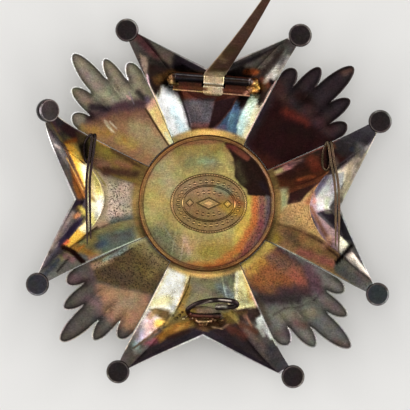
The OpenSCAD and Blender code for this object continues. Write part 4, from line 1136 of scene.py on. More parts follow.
# Turned profile of the disc's back, from the middle to the rim
DISC_PROFILE = [
    # distance, height
    (0.0, disc_top),
    (land_r, disc_top),
    (11.0, disc_top - 0.07),
    (13.1, disc_top - 0.28),
    (14.05, disc_top - 0.48),
    (14.25, disc_top - 0.53),
    (14.4, disc_top - 0.47),
    (14.62, disc_top - 0.37),
    (14.8, disc_top - 0.4),
    (disc_r, disc_top - 0.52)]
ring_r = np.concatenate([
    np.linspace(first_ring_r, flat_to, disc_rings), np.linspace(edge_from, disc_r, edge_rings)])
ring_z = np.interp(ring_r, *zip(*DISC_PROFILE))
ring_z[1:-1] = ring_z[1:-1] * 0.5 + (ring_z[:-2] + ring_z[2:]) * 0.25
disc_profile = ([(0, disc_bottom), (under_ring_r, disc_bottom), (disc_r, disc_bottom)]
                + [(r, z) for r, z in zip(ring_r[::-1], ring_z[::-1])] + [(0, disc_top)])
disc_points, disc_faces = lathe(disc_profile, disc_segments)
raised = disc_points[:, 2] > disc_bottom + disc_side_h
disc_points[:, 2] += raised * (ripple(disc_points, 6.0, 5) * disc_sway - disc_sway)
# Tarnish of the gilt disc, with a painted dark reflection and a painted highlight at its upper right
DISC_TARNISH_AND_LIGHT = [
    # outline in the photograph, reach, softness, colour, cover
    ([(140, 184), (170, 150)], 6, 8, (154, 120, 88), 0.9),
    ([(144, 190), (158, 200)], 8, 9, (170, 150, 88), 0.95),
    ([(160, 168), (172, 188)], 10, 12, (152, 142, 102), 0.9),
    ([(150, 212), (156, 226)], 6, 8, (164, 154, 96), 0.8),
    ([(180, 150), (224, 148)], 8, 9, (134, 112, 62), 0.95),
    ([(190, 162), (222, 162)], 7, 10, (112, 108, 74), 0.9),
    ([(200, 161), (212, 162)], 3, 6, (128, 144, 112), 0.7),
    ([(222, 156), (230, 182)], 4, 6, (166, 150, 86), 0.8),
    ([(158, 236), (178, 250)], 12, 12, (110, 108, 80, 150), 0.95),
    ([(188, 244), (206, 252)], 10, 10, (154, 130, 88, 60), 0.9),
    ([(184, 236), (190, 254)], 2, 4, (188, 160, 132), 0.6),
    ([(206, 252), (234, 252)], 9, 10, (138, 116, 54), 0.9),
    ([(222, 226), (240, 222)], 6, 9, (176, 162, 92), 0.8),
    ([(190, 266), (232, 264)], 4, 5, (170, 112, 52), 0.9),
    ([(206, 269), (244, 260)], 3, 4, (150, 76, 44), 0.9),
    ([(170, 262), (200, 270)], 3, 5, (150, 106, 74), 0.8),
    ([(250, 200), (248, 226), (238, 240)], 5, 5, (186, 156, 72), 0.9),
    ([(256, 197), (255, 222)], 4, 4, (182, 104, 56, 130), 0.95),
    ([(255, 222), (240, 248)], 4, 5, (176, 98, 52, 130), 0.9),
    ([(240, 248), (222, 261)], 3.5, 5, (168, 98, 50, 100), 0.9),
    ([(246, 253), (228, 266)], 3, 4, (122, 70, 54, 150), 0.9),
    ([(228, 267), (208, 272)], 2, 3, (136, 80, 56, 80), 0.8),
    ([(262, 197), (262, 224)], 4, 4, (134, 84, 72, 200), 0.95),
    ([(262, 224), (244, 256)], 4, 4, (118, 66, 60, 200), 0.9),
    ([(269, 200), (268, 226)], 3.5, 4, (94, 76, 82, 200), 0.95),
    ([(268, 226), (252, 254)], 3, 4, (98, 72, 80), 0.9),
    ([(262, 206), (260, 240)], 2, 3, (120, 66, 70, 120), 0.6),
    ([(150, 166), (176, 144)], 2, 3, (134, 84, 62), 0.8),
    ([(176, 144), (222, 141)], 2, 3, (128, 82, 60), 0.8),
    # Painted dark reflection across the disc's upper right
    ([(224, 143), (230, 152), (233, 158), (235, 167), (234.5, 177), (240, 184), (247, 190), (247.5, 195),
      (274, 197), (272, 176), (256, 154), (238, 143)], 0, 1.2, (34, 22, 18), 1),
    ([(237, 164), (243, 182)], 3.5, 6, (60, 54, 36), 0.9),
    ([(235, 149), (247, 158)], 3, 2, (100, 54, 42), 1),
    ([(228, 146), (236, 148)], 2.5, 3, (96, 46, 40), 0.9),
    ([(262, 184), (270, 194)], 3, 4, (34, 24, 28), 0.8),
    ([(267, 197.5), (272, 199)], 2, 2, (104, 100, 102), 0.8),
    # Painted highlight along the disc's rim at the upper right
    ([(244, 148.5), (259, 163)], 0.7, 0.8, (250, 226, 216), 0.9),
    ([(259, 163), (268, 178)], 0.7, 0.8, (250, 230, 222), 0.9),
    ([(268, 178), (272.8, 194)], 0.7, 0.8, (250, 226, 216), 0.9),
    ([(272.8, 194), (273, 212)], 0.7, 0.8, (226, 196, 180), 0.9),
    ([(176, 232), (170, 262)], 0.4, 0.8, (172, 160, 132), 0.6),
    ([(184, 240), (180, 262)], 0.4, 0.8, (206, 186, 168), 0.6),
    ([(164, 226), (176, 246)], 0.4, 0.8, (136, 140, 120), 0.6)]
disc_coat = coat_of(disc_points, DISC_TARNISH_AND_LIGHT, ground=(152, 134, 82))
disc_place = from_axis(disc_points)
groove = np.exp(-((disc_place - groove_r) / groove_w) ** 2)[:, None]
tint(disc_coat, groove_dark, edge_cover * groove)
rim_share = edge_cover * (ease((disc_place - disc_rim_from) / disc_rim_fade) * raised)[:, None]
tint(disc_coat, rim_gilding * painted_ring_light(disc_points, DISC_RIM_PAINTED_LIGHT), rim_share)
# Painted shadow along the disc's side, where it stands in the drum
disc_coat[disc_place > disc_r - side_shadow_w, :3] = side_shadow
gilt_silver = metal("gilt_silver", 0.32)
cover_disc = build("cover_disc", (disc_points, disc_faces), gilt_silver, disc_coat)
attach(cover_disc, "star")
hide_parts("back_disc")

# The oval plate.
# A small struck plate of gilt silver, soft-soldered on the middle of the disc. It has a milled
# border, a ring of beads, an inner line, and plain pellets round three lozenges.

oval_middle = np.array([0.4, 0.0])
oval_l, oval_w = 17.0, 13.2
oval_t = 0.35
oval_z = disc_top + 0.05
relief_h = 0.2
border_w = 0.55
reed_count, reed_depth, reed_inset = 90, 0.55, 0.3
bead_count, bead_r, bead_inset = 32, 0.3, 1.75
inner_line_inset, inner_line_w = 2.6, 0.25
pellet_r, pellet_pitch, pellet_row, pellet_bow = 0.34, 1.2, 2.5, 0.12
oval_rings, oval_segments = 72, 540
# Soft edges of the border and the reeds: how far in the plate's edge lies, and the widths
border_outer, border_outer_w, border_inner_w, reed_end_w = 0.07, 0.14, 0.16, 0.1
# Swell of the inner line and the beads, and the lozenges' sides with the line cut inside them
inner_line_swell, bead_swell = 0.7, 1.1
lozenge_end, lozenge_steep = 1.08, 3.2
lozenge_cut, lozenge_cut_at, lozenge_cut_w = 0.35, 0.55, 0.1
# Lozenges of the middle: place, length and width
LOZENGES = [
    # across, length, width
    (0.0, oval_l * 0.32, oval_w * 0.2),
    (oval_l * 0.245, oval_l * 0.1, oval_w * 0.13),
    (-oval_l * 0.245, oval_l * 0.1, oval_w * 0.13)]


def step(x, edge, width):
    """0 below an edge and 1 above it, over a width."""
    return ease((x - edge) / width + 0.5)


def oval_relief(x, y):
    """Height of the struck work over the plate's ground."""
    a, b = oval_l / 2, oval_w / 2
    share = np.hypot(x / a, y / b)
    slope = np.hypot(x / a ** 2, y / b ** 2) / np.maximum(share, 1e-6)
    inset = (1 - share) / np.maximum(slope, 1e-6)
    turn = np.arctan2(y / b, x / a)
    border_inner = border_w - 0.06
    height = step(inset, border_outer, border_outer_w) * (1 - step(inset, border_inner, border_inner_w))
    reeds = (0.5 + 0.5 * np.cos(reed_count * turn)) * (1 - step(inset, reed_inset, reed_end_w))
    height -= reed_depth * reeds * height
    line = inner_line_inset + inner_line_w / 2
    height += np.clip(1 - (np.abs(inset - line) / (inner_line_w * inner_line_swell)) ** 2, 0, 1)
    for k in range(bead_count):
        angle = 2 * math.pi * (k + 0.5) / bead_count
        place = ((a - bead_inset) * math.cos(angle), (b - bead_inset) * math.sin(angle))
        bead = 1 - np.hypot(x - place[0], y - place[1]) ** 2 / (bead_r * bead_swell) ** 2
        height = np.maximum(height, np.sqrt(np.clip(bead, 0, 1)) * bead_swell)
    for across, length, width in LOZENGES:
        d = np.abs(x - across) / (length / 2) + np.abs(y) / (width / 2)
        cut = lozenge_cut * np.exp(-((d - lozenge_cut_at) / lozenge_cut_w) ** 2)
        height = np.maximum(height, np.clip((lozenge_end - d) * lozenge_steep, 0, 1) - cut)
    for side in (-1, 1):
        for k in range(-2, 3):
            place = (k * pellet_pitch, side * (pellet_row - pellet_bow * k * k))
            pellet = 1 - np.hypot(x - place[0], y - place[1]) ** 2 / pellet_r ** 2
            height = np.maximum(height, np.sqrt(np.clip(pellet, 0, 1)))
    return relief_h * height


def ring_faces(rings, sides, wrapped=False):
    """Faces between rings of points, and from the last ring to the first where it is wrapped."""
    return [[i * sides + k, i * sides + (k + 1) % sides,
             (i + 1) % rings * sides + (k + 1) % sides, (i + 1) % rings * sides + k]
            for i in range(rings if wrapped else rings - 1) for k in range(sides)]


turns = all_round(oval_segments)
shares = np.linspace(0.01, 1, oval_rings)
oval_x = np.outer(shares, np.cos(turns)) * oval_l / 2
oval_y = np.outer(shares, np.sin(turns)) * oval_w / 2
oval_top = oval_z + oval_t + oval_relief(oval_x, oval_y)
oval_grid = np.stack([oval_x + oval_middle[0], oval_y + oval_middle[1], oval_top], axis=-1)
foot_ring = oval_grid[-1] * [1, 1, 0] + [0, 0, oval_z]
oval_points = np.concatenate([oval_grid.reshape(-1, 3), foot_ring])
oval_faces = [face[:1] + face[:0:-1] for face in ring_faces(oval_rings + 1, oval_segments)]
oval_faces.append(list(range(oval_segments)))
oval_faces.append(list(range(len(oval_points) - 1, len(oval_points) - 1 - oval_segments, -1)))
# Tarnish of the oval plate
OVAL_STAINS = [
    # outline in the photograph, reach, softness, colour, cover
    ([(186, 188), (206, 190)], 8, 9, (176, 146, 106), 0.9),
    ([(218, 188), (228, 192)], 4, 5, (152, 152, 116), 0.9),
    ([(224, 206), (240, 212)], 5, 5, (184, 146, 62), 0.9),
    ([(232, 198), (242, 204)], 3, 4, (170, 106, 58), 0.8),
    ([(178, 214), (206, 222)], 8, 9, (156, 124, 78), 0.8)]
oval_coat = coat_of(oval_points, OVAL_STAINS, ground=(160, 128, 84))
# The struck work is rubbed bright and dirt lies on its ground; its slopes get painted shade
ground_light, relief_light, slope_shade, slope_gain = 0.8, 0.42, 0.4, 1.6
lift = np.clip((oval_points[:, 2] - oval_z - oval_t) / relief_h, 0, 1)
slope = np.abs(np.gradient(oval_top, axis=0)) / (oval_w / 2 / oval_rings)
slope = np.concatenate([np.clip(slope.reshape(-1) * slope_gain, 0, 1), np.ones(oval_segments)])
oval_coat[:, :3] *= (ground_light + relief_light * lift - slope_shade * slope)[:, None]
oval = build("oval_plate_struck", (oval_points, oval_faces), gilt_silver, oval_coat, sharp=50)
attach(oval, "star")
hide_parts("oval_plate")

# The medallion.
# The middle of the front, which the star lies on and the photo doesn't show: a turned stack of
# plain rings in silver, pinned to the drum's floor.

medallion_profile = [
    # distance, height
    (0, 0), (9.2, 0), (9.5, 0.06), (9.8, 0.3), (9.9, 0.5), (9.9, 0.86), (10.1, 0.9), (10.6, 0.86),
    (11.0, 0.95), (11.5, 0.9), (12.1, 1.0), (12.5, 1.12), (12.9, 1.5), (13.1, 1.9), (13.1, 1.95), (0, 1.95)]
medallion = coated("front_medallion", lathe(medallion_profile, 128), tarnished_silver,
                   ground=(168, 162, 150), sharp=40)
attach(medallion, "star")
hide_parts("medallion")

# The hinge's base.
# A brass plate across the arm, with two barrels rolled from strip, and a stop pad below the
# knuckle. Its ends are buried in rough solder that ran down onto the arm's facets.

hinge_place = np.array([0.7, 27.2, 7.944])
hinge_skew = -3.0
knuckle_w = 4.4
barrel_start = knuckle_w / 2 + 0.15
barrel_left_l, barrel_right_l = 6.1, 5.4
barrel_r, bore_r, barrel_broken = 0.85, 0.53, 0.12
seam_depth, seam_at, seam_w = 0.07, 0.9, 0.09
plate_t = 0.6
plate_top = 0.1 - barrel_r
plate_left = barrel_start + barrel_left_l + 0.4
plate_right = barrel_start + barrel_right_l + 0.4


def at_hinge(shape):
    """A shape made round the axle, brought to the hinge's place on the star."""
    points, faces = shape
    return turned(points, hinge_skew) + hinge_place, faces


def loft(rings):
    """Closed body through rings of points."""
    count, sides = len(rings), len(rings[0])
    faces = ring_faces(count, sides)
    faces.append(list(range(sides - 1, -1, -1)))
    faces.append(list(range((count - 1) * sides, count * sides)))
    return np.concatenate(rings), faces


def slab(outline, bottom, top, edge):
    """Plate from an outline, with its upper edges broken by a narrow chamfer."""
    outline = np.array(outline, dtype=float)
    before, after = np.roll(outline, 1, axis=0), np.roll(outline, -1, axis=0)
    one, two = outline - before, after - outline
    one /= np.linalg.norm(one, axis=1)[:, None]
    two /= np.linalg.norm(two, axis=1)[:, None]
    inward = np.stack([-one[:, 1] - two[:, 1], one[:, 0] + two[:, 0]], axis=1)
    inward /= (1 + (one * two).sum(1))[:, None]
    levels = [(outline, bottom), (outline, top - edge), (outline + inward * edge, top)]
    return loft([np.column_stack([ring, np.full(len(ring), z)]) for ring, z in levels])


def refined(shape, longest):
    """A shape cut into triangles with no edge longer than that, fine enough to paint."""
    work = bmesh.new()
    corners = [work.verts.new(p) for p in shape[0].tolist()]
    for face in shape[1]:
        work.faces.new([corners[i] for i in face])
    bmesh.ops.triangulate(work, faces=work.faces[:])
    rest = [edge for edge in work.edges if edge.calc_length() > longest]
    while rest:
        bmesh.ops.subdivide_edges(work, edges=rest, cuts=1)
        bmesh.ops.triangulate(work, faces=work.faces[:])
        rest = [edge for edge in work.edges if edge.calc_length() > longest]
    work.verts.index_update()
    points = np.array([corner.co for corner in work.verts])
    faces = [[corner.index for corner in face.verts] for face in work.faces]
    work.free()
    return points, faces


roll_rings, mouth_inset = 24, 0.02


def roll(start, length, bore, reach, broken, sides):
    """Rolled strip round the axle, its ends broken: reach is its radius at each of its sides."""
    a = all_round(sides)
    end, mouth = start + length, np.full(sides, bore)
    body = [(x, reach) for x in np.linspace(start + broken, end - broken, roll_rings)]
    rings = ([(start + mouth_inset, mouth), (start, reach - broken)] + body
             + [(end, reach - broken), (end - mouth_inset, mouth)])
    points = np.concatenate([
        np.stack([np.full(sides, x), r * np.cos(a), r * np.sin(a)], axis=1) for x, r in rings])
    return points, ring_faces(len(rings), sides, wrapped=True)


def barrel(start, length):
    """Tube along the axle, its seam a narrow groove."""
    sides = 56
    a = all_round(sides)
    reach = barrel_r - seam_depth * np.exp(-((a - seam_at) / seam_w) ** 2)
    return roll(start, length, bore_r, reach, barrel_broken, sides)


def run_solder(lumps, grain=0.16, turns=4, seed=1):
    """Lump of solder: balls that ran together, with a rough skin."""
    balls = []
    for x, y, z, r in lumps:
        profile = [(r * math.cos(t), r * math.sin(t)) for t in np.linspace(-math.pi / 2, math.pi / 2, 12)]
        profile[0], profile[-1] = (0, -r), (0, r)
        points, faces = lathe(profile, 16)
        balls.append((points + [x, y, z], faces))
    points, faces = joined(balls)
    rough = bpy.data.meshes.new("solder_rough")
    rough.from_pydata(points.tolist(), [], faces)
    lump = placed("solder_rough", rough)
    remesh = lump.modifiers.new("remesh", "REMESH")
    remesh.mode = "VOXEL"
    remesh.voxel_size = grain
    relax = lump.modifiers.new("relax", "SMOOTH")
    relax.iterations = turns
    ready = lump.evaluated_get(bpy.context.evaluated_depsgraph_get()).to_mesh()
    points = np.array([v.co for v in ready.vertices])
    normals = np.array([v.normal for v in ready.vertices])
    faces = [list(f.vertices) for f in ready.polygons]
    bpy.data.objects.remove(lump)
    points += normals * waves(points, (0.9, seed, 0.12), (0.35, seed + 1, 0.07))[:, None]
    return points, faces


# The plate, with a window for the knuckle, and the stop pad, which ends just short of the knuckle
knuckle_r, stop_gap = 1.4, 0.03
plate_edge, plate_grain = 0.12, 0.3
stop_z, stop_edge, stop_grain = -0.475, 0.05, 0.2
window_x, window_y = knuckle_w / 2 + 0.3, -1.6
plate_front, plate_rear = -3, 1.2
plate_outline = [(-plate_left, plate_front), (plate_right, plate_front), (plate_right, plate_rear),
                 (window_x, plate_rear), (window_x, window_y), (-window_x, window_y),
                 (-window_x, plate_rear), (-plate_left, plate_rear)]
stop_rear = -stop_gap - knuckle_r
# Its outline, along the axle and outward
stop_outline = [(-1.5, -3.5), (1.5, -3.5), (2.0, -3.2), (2.2, -2.8), (2.2, stop_rear), (-2.2, stop_rear),
                (-2.2, -2.8), (-2.0, -3.2)]
hinge_shapes = {
    "hinge_plate": refined(slab(plate_outline, plate_top - plate_t, plate_top, plate_edge), plate_grain),
    "hinge_barrels": joined([barrel(barrel_start, barrel_right_l),
                             barrel(-barrel_start - barrel_left_l, barrel_left_l)]),
    "hinge_stop": refined(slab(stop_outline, plate_top - plate_t, stop_z, stop_edge), stop_grain)}
# Solder at the two ends of the base, round the axle's end: place and radius
SOLDER_RIGHT = [
    # along the axle, outward, up, radius
    (7.8, -1.2, -1.0, 0.8),
    (8.4, -1.6, -1.3, 0.9),
    (9.1, -1.8, -1.7, 0.8),
    (9.8, -1.6, -2.1, 0.6),
    (9.6, -0.9, -1.8, 0.8),
    (9.1, -0.2, -1.4, 0.9),
    (8.5, 0.3, -1.0, 0.8),
    (9.2, 0.8, -1.3, 0.6),
    (8.1, -0.4, -0.6, 0.7)]
SOLDER_LEFT = [
    (-8.2, -1.5, -1.0, 0.75),
    (-8.8, -1.2, -1.2, 0.85),
    (-9.3, -1.5, -1.5, 0.75),
    (-9.7, -0.8, -1.6, 0.7),
    (-9.3, -0.2, -1.2, 0.8),
    (-9.0, 0.4, -1.0, 0.7),
    (-8.6, -0.2, -0.7, 0.7),
    (-8.3, -2.2, -1.2, 0.55)]
hinge_shapes["hinge_solder_right"] = run_solder(SOLDER_RIGHT, seed=3)
hinge_shapes["hinge_solder_left"] = run_solder(SOLDER_LEFT, seed=5)
# Ground colour of each shape, and the stains of them all: tarnish, with painted highlights and painted
# shade
HINGE_GROUNDS = {
    "hinge_plate": (58, 32, 22),
    "hinge_barrels": (44, 40, 40),
    "hinge_stop": (178, 152, 120),
    "hinge_solder_right": (92, 60, 30),
    "hinge_solder_left": (62, 42, 24)}
HINGE_TARNISH_AND_LIGHT = [
    # outline in the photograph, reach, softness, colour, cover
    ([(172, 76), (206, 78)], 1, 1.2, (40, 28, 24), 0.9),
    ([(224, 80), (252, 81)], 1, 1.2, (44, 30, 24), 0.9),
    # Painted highlights along the barrels' tops and painted shade along their undersides
    ([(174, 74), (203, 76.3)], 0.35, 0.6, (150, 142, 140), 0.9),
    ([(225, 78.2), (250, 80.3)], 0.35, 0.6, (132, 122, 120), 0.9),
    ([(176, 80.4), (203, 81.6)], 1.4, 1.2, (22, 18, 20), 0.9),
    ([(226, 83.2), (250, 84.4)], 1.4, 1.2, (24, 18, 19), 0.9),
    ([(172, 86.5), (206, 89)], 1.4, 1.6, (82, 46, 30), 0.9),
    ([(224, 90), (250, 92)], 1.4, 1.6, (82, 48, 32), 0.9),
    # Painted highlight along the plate's lower edge
    ([(172, 89.6), (203, 92.1)], 0.6, 0.8, (214, 166, 120), 1),
    ([(223, 93.9), (250, 96)], 0.6, 0.8, (206, 160, 122), 1),
    # Painted highlight at the right barrel's end, and the solder at both ends with painted highlights
    ([(250, 80), (252, 82)], 1.2, 2, (206, 196, 180), 0.8),
    ([(252, 92), (262, 82)], 3, 4, (164, 124, 58), 0.9),
    ([(254, 84), (260, 80)], 0.8, 1.2, (226, 190, 110), 0.8),
    ([(255, 90), (262, 88)], 0.8, 1.2, (210, 168, 90), 0.8),
    ([(258, 78), (260, 82)], 1.5, 2, (120, 70, 40), 0.8),
    ([(245, 94), (250, 90)], 1.5, 2, (190, 140, 106), 0.9),
    ([(262, 80), (267, 86)], 2, 3, (122, 64, 46), 0.8),
    ([(170, 76), (172, 83)], 1.2, 2, (156, 124, 86), 0.9),
    ([(162, 74), (168, 78)], 2.5, 3, (108, 76, 38), 0.8),
    ([(165, 82), (169, 88)], 2, 3, (50, 36, 18), 0.8),
    # Painted light along the seam between the knuckle and the stop pad
    ([(203, 85.4), (224, 87.1)], 1, 1, (245, 226, 190), 0.95),
    ([(204, 94.3), (222, 95.8)], 1, 1.2, (96, 78, 56, 255), 0.9)]
solder_bronze = metal("solder_bronze", 0.34, mottle=0.4, scratch=0.2, grain=0.6)
for name, shape in hinge_shapes.items():
    piece = coated(name, at_hinge(shape), solder_bronze, HINGE_GROUNDS[name], HINGE_TARNISH_AND_LIGHT)
    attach(piece, "star")
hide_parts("hinge_base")

# The axle.
# A plain drawn wire through the three barrels, burred over at both ends.

axle_r, axle_out = 0.5, 0.2
axle_l = 2 * barrel_start + barrel_left_l + barrel_right_l + 2 * axle_out
burr_r, burr_l = axle_r * 0.7, 0.1
axle_profile = [(0, 0), (burr_r, 0), (axle_r, burr_l), (axle_r, axle_l - burr_l),
                (burr_r, axle_l), (0, axle_l)]
axle_points, axle_faces = lathe(axle_profile, 32)
axle_points = axle_points[:, [2, 0, 1]] + [-barrel_start - barrel_left_l - axle_out, 0, 0]
dark_wire = metal("dark_wire", 0.28)
axle = coated("hinge_axle", at_hinge((axle_points, axle_faces)), dark_wire, ground=(120, 112, 104))
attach(axle, "star")
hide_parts("hinge_rivet")

# The pin.
# A long flat blade of hard steel that tapers to a point, bent sideways in use. Its root is rolled
# into the middle knuckle of the hinge and filed flat on top. It stands open, as in the photo.

pin_lift = math.radians(47)
pin_reach = 48.0
blade_w, blade_t = 4.4, 0.55
blade_lean, blade_back = 0.47, 5.0
blade_root = -0.7
blade_taper, blade_point, blade_thinning, blade_wobble = 1.35, 0.07, 0.55, 0.05
knuckle_flat, knuckle_bore, knuckle_broken = 1.05, 0.55, 0.14
blade_sections, blade_sides = 70, 20
# Where the blade leaves the knuckle, how far its sections stay square to it, and their roundness
blade_from, blade_square_to, blade_round = 0.018, 0.03, 0.5
wobble_rate, wobble_place = 14, 3.1


def blade():
    """Blade in its own plane: a flat bar with rounded edges along a sabre curve."""
    rings = []
    corner = all_round(blade_sides)
    edge_x = np.sign(np.cos(corner)) * np.abs(np.cos(corner)) ** blade_round
    edge_z = np.sign(np.sin(corner)) * np.abs(np.sin(corner)) ** blade_round
    for s in np.linspace(blade_from, 1, blade_sections):
        middle = np.array([blade_root + blade_lean * pin_reach * s - blade_back * s * s, pin_reach * s])
        run = np.array([blade_lean * pin_reach - 2 * blade_back * s, pin_reach])
        run /= np.linalg.norm(run)
        side = np.array([run[1], -run[0]]) if s > blade_square_to else np.array([1.0, 0.0])
        half = blade_w / 2 * (1 - s) ** blade_taper + blade_point
        thick = blade_t / 2 * (1 - blade_thinning * s)
        wobble = blade_wobble * noise.noise(Vector((s * wobble_rate, wobble_place, 0)))
        rings.append(np.stack([middle[0] + side[0] * half * edge_x + wobble,
                               middle[1] + side[1] * half * edge_x,
                               -thick * edge_z], axis=1))
    return loft(rings)


def knuckle():
    """Rolled root of the pin: a thick ring round the axle, flat on top."""
    sides = 64
    up = np.sin(all_round(sides))
    to_flat = np.where(up > 0, knuckle_flat / np.maximum(up, 1e-3), knuckle_r)
    reach = np.minimum(knuckle_r, to_flat)
    return roll(-knuckle_w / 2, knuckle_w, knuckle_bore, reach, knuckle_broken, sides)


blade_points, blade_faces = blade()
pin_points, pin_faces = at_hinge(joined([(blade_points @ lifting(pin_lift), blade_faces), knuckle()]))
# Tarnish of the pin as it stands in the photograph, with painted highlights on its knuckle
PIN_TARNISH_AND_LIGHT = [
    # outline in the photograph, reach, softness, colour, cover
    ([(200, 70), (230, 70), (230, 100), (200, 100)], 0, 1.5, (182, 160, 128), 1),
    ([(206, 70), (226, 70)], 1.5, 1.5, (70, 52, 34), 0.9),
    ([(217, 54), (223, 60)], 2.5, 3, (162, 136, 98), 0.9),
    ([(214, 62), (208, 70)], 2.5, 3, (116, 92, 60), 0.8),
    ([(224, 56), (234, 50)], 3, 5, (78, 60, 40), 0.8),
    ([(212, 66), (222, 62)], 0.5, 0.8, (62, 46, 28), 0.8),
    # Painted highlights along the knuckle's edges and over its seam with the stop pad
    ([(204, 74), (204, 84)], 0.7, 0.8, (200, 176, 142), 0.9),
    ([(223.6, 76), (223.2, 85)], 0.6, 0.8, (222, 198, 160), 0.9),
    ([(204.5, 74.8), (224, 76.5)], 0.6, 0.8, (232, 212, 176), 0.9),
    ([(203, 83.6), (224, 85.3)], 1.3, 1, (255, 246, 220), 1),
    ([(212, 78), (217, 82)], 4, 5, (168, 146, 114, 120), 0.8),
    ([(205.4, 76.5), (205.3, 79)], 0.3, 0.6, (92, 66, 40, 200), 0.8),
    ([(222.6, 78), (222.4, 81)], 0.3, 0.6, (84, 60, 36, 200), 0.8),
    ([(207, 76), (211, 76.4)], 0.2, 0.5, (110, 84, 54, 160), 0.7)]
pin_coat = coat_of(pin_points, PIN_TARNISH_AND_LIGHT, ground=(92, 67, 55))
# The blade's two edges get painted highlights
edge_highlight_cover, edge_from_side, edge_highlight_colour = 0.75, 0.88, (216, 190, 166)
corner = np.arange(len(blade_points)) % blade_sides * 2 * math.pi / blade_sides
highlighted_edges = edge_highlight_cover * (np.abs(np.cos(corner)) > edge_from_side)[:, None]
tint(pin_coat[:len(blade_points)], edge_highlight_colour, highlighted_edges)
pin_steel = metal("pin_steel", 0.33)
pin = build("pin_blade", (pin_points, pin_faces), pin_steel, pin_coat)
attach(pin, "pin")
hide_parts("pin")

# The catch.
# A loop of round wire, dark with tarnish, that takes the pin's point and ends in a small bulb and
# a knob. Its foot is soldered to the sloping end facet of the lower arm.

catch_wire_r = 0.55
catch_reach = 24.8
catch_slant = math.radians(46)
catch_foot_z = 5.34
bulb_swell, knob_swell = 0.35, 0.25
bulb_from, knob_to, swell_fade = 0.93, 0.07, 0.05
run_sink = 0.1
# Loop of the catch in its slanted plane, from the knob round to the bulb
CATCH_LOOP = [
    # sideways, up the slant
    (3.4, 0.2), (1.2, 0), (-1.6, 0), (-3.2, 0.6), (-3.3, 2.2), (-0.8, 4.3),
    (3, 5.3), (6.4, 5), (7.3, 3.9), (6, 3.1), (3.1, 3)]


def smooth_path(points, steps=8):
    """Curve through points, with a number of steps between each two."""
    points = [np.array(p, dtype=float) for p in points]
    last = len(points) - 1
    path = []
    for i in range(last):
        a, b, c, d = points[max(i - 1, 0)], points[i], points[i + 1], points[min(i + 2, last)]
        for s in np.linspace(0, 1, steps, endpoint=False):
            path.append(0.5 * (2 * b + (c - a) * s + (2 * a - 5 * b + 4 * c - d) * s ** 2
                               + (3 * b - a - 3 * c + d) * s ** 3))
    return np.array(path + [points[last]])


# Rings of a wire's rounded end: how far out and how wide they are, as shares of its radius
WIRE_END = [(0.5, 0.86), (0.85, 0.5)]


def wire(path, radius, sides):
    """Round wire along a path, with rounded ends."""
    along = np.gradient(path, axis=0)
    along /= np.linalg.norm(along, axis=1)[:, None]
    across = np.array([0.31, 0.22, 0.93])
    a = all_round(sides)
    radius = np.broadcast_to(radius, len(path))
    rings = []
    for i, (place, run) in enumerate(zip(path, along)):
        across = across - run * (across @ run)
        across /= np.linalg.norm(across)
        other = np.cross(run, across)
        spread = np.outer(np.cos(a), across) + np.outer(np.sin(a), other)
        before = [(-out, wide) for out, wide in WIRE_END[::-1]] if i == 0 else []
        after = WIRE_END if i == len(path) - 1 else []
        rings += [place + run * radius[i] * out + spread * radius[i] * wide
                  for out, wide in before + [(0, 1)] + after]
    return loft(rings)


def cross_height(x, y):
    """Height of the cross's back below a point."""
    found, place, _, _ = star_cross.ray_cast(Vector((x, y, 20)) * MM, Vector((0, 0, -1)))
    return place.z / MM if found else 0


loop = smooth_path(CATCH_LOOP)
loop = np.stack([loop[:, 0], -catch_reach + loop[:, 1] * math.cos(catch_slant),
                 catch_foot_z + loop[:, 1] * math.sin(catch_slant)], axis=1)
share = np.linspace(0, 1, len(loop))
bulb = bulb_swell * ease((share - bulb_from) / swell_fade)
knob = knob_swell * ease((knob_to - share) / swell_fade)
loop_r = catch_wire_r * (1 + bulb + knob)
# Tarnish of the loop, with painted highlights along its wire, and below of its solder
LOOP_TARNISH_AND_HIGHLIGHTS = [
    # outline in the photograph, reach, softness, colour, cover
    ([(190, 316), (222, 320)], 3, 4, (112, 62, 48), 0.8),
    # Painted highlights along the wire
    ([(196, 306.5), (211, 300.8)], 0.4, 0.6, (196, 180, 164), 0.9),
    ([(220, 299.6), (231, 300.8)], 0.6, 0.6, (232, 216, 200), 0.9),
    ([(217, 305.5), (226, 306.5)], 1.6, 1, (226, 212, 196), 0.9),
    ([(220, 307.5), (229, 307)], 0.4, 0.8, (40, 30, 30), 0.9)]
catch_loop = coated("catch_loop", wire(loop, loop_r, sides=20), dark_wire, (50, 40, 39), LOOP_TARNISH_AND_HIGHLIGHTS)
# Solder of the catch's foot, on the facet: place and radius
CATCH_SOLDER = [
    # across, outward from the foot, up, radius
    (-1.9, -0.4, -0.3, 0.5),
    (-1.0, -0.5, -0.3, 0.6),
    (-0.1, -0.5, -0.25, 0.65),
    (0.8, -0.5, -0.3, 0.6),
    (1.7, -0.4, -0.35, 0.5),
    (-1.2, -1.2, 0.0, 0.6),
    (-0.3, -1.3, 0.05, 0.65),
    (0.6, -1.4, 0.1, 0.7),
    (1.5, -1.2, 0.0, 0.55),
    (0.5, -2.0, 0.45, 0.5),
    (-0.5, -2.0, 0.45, 0.5)]
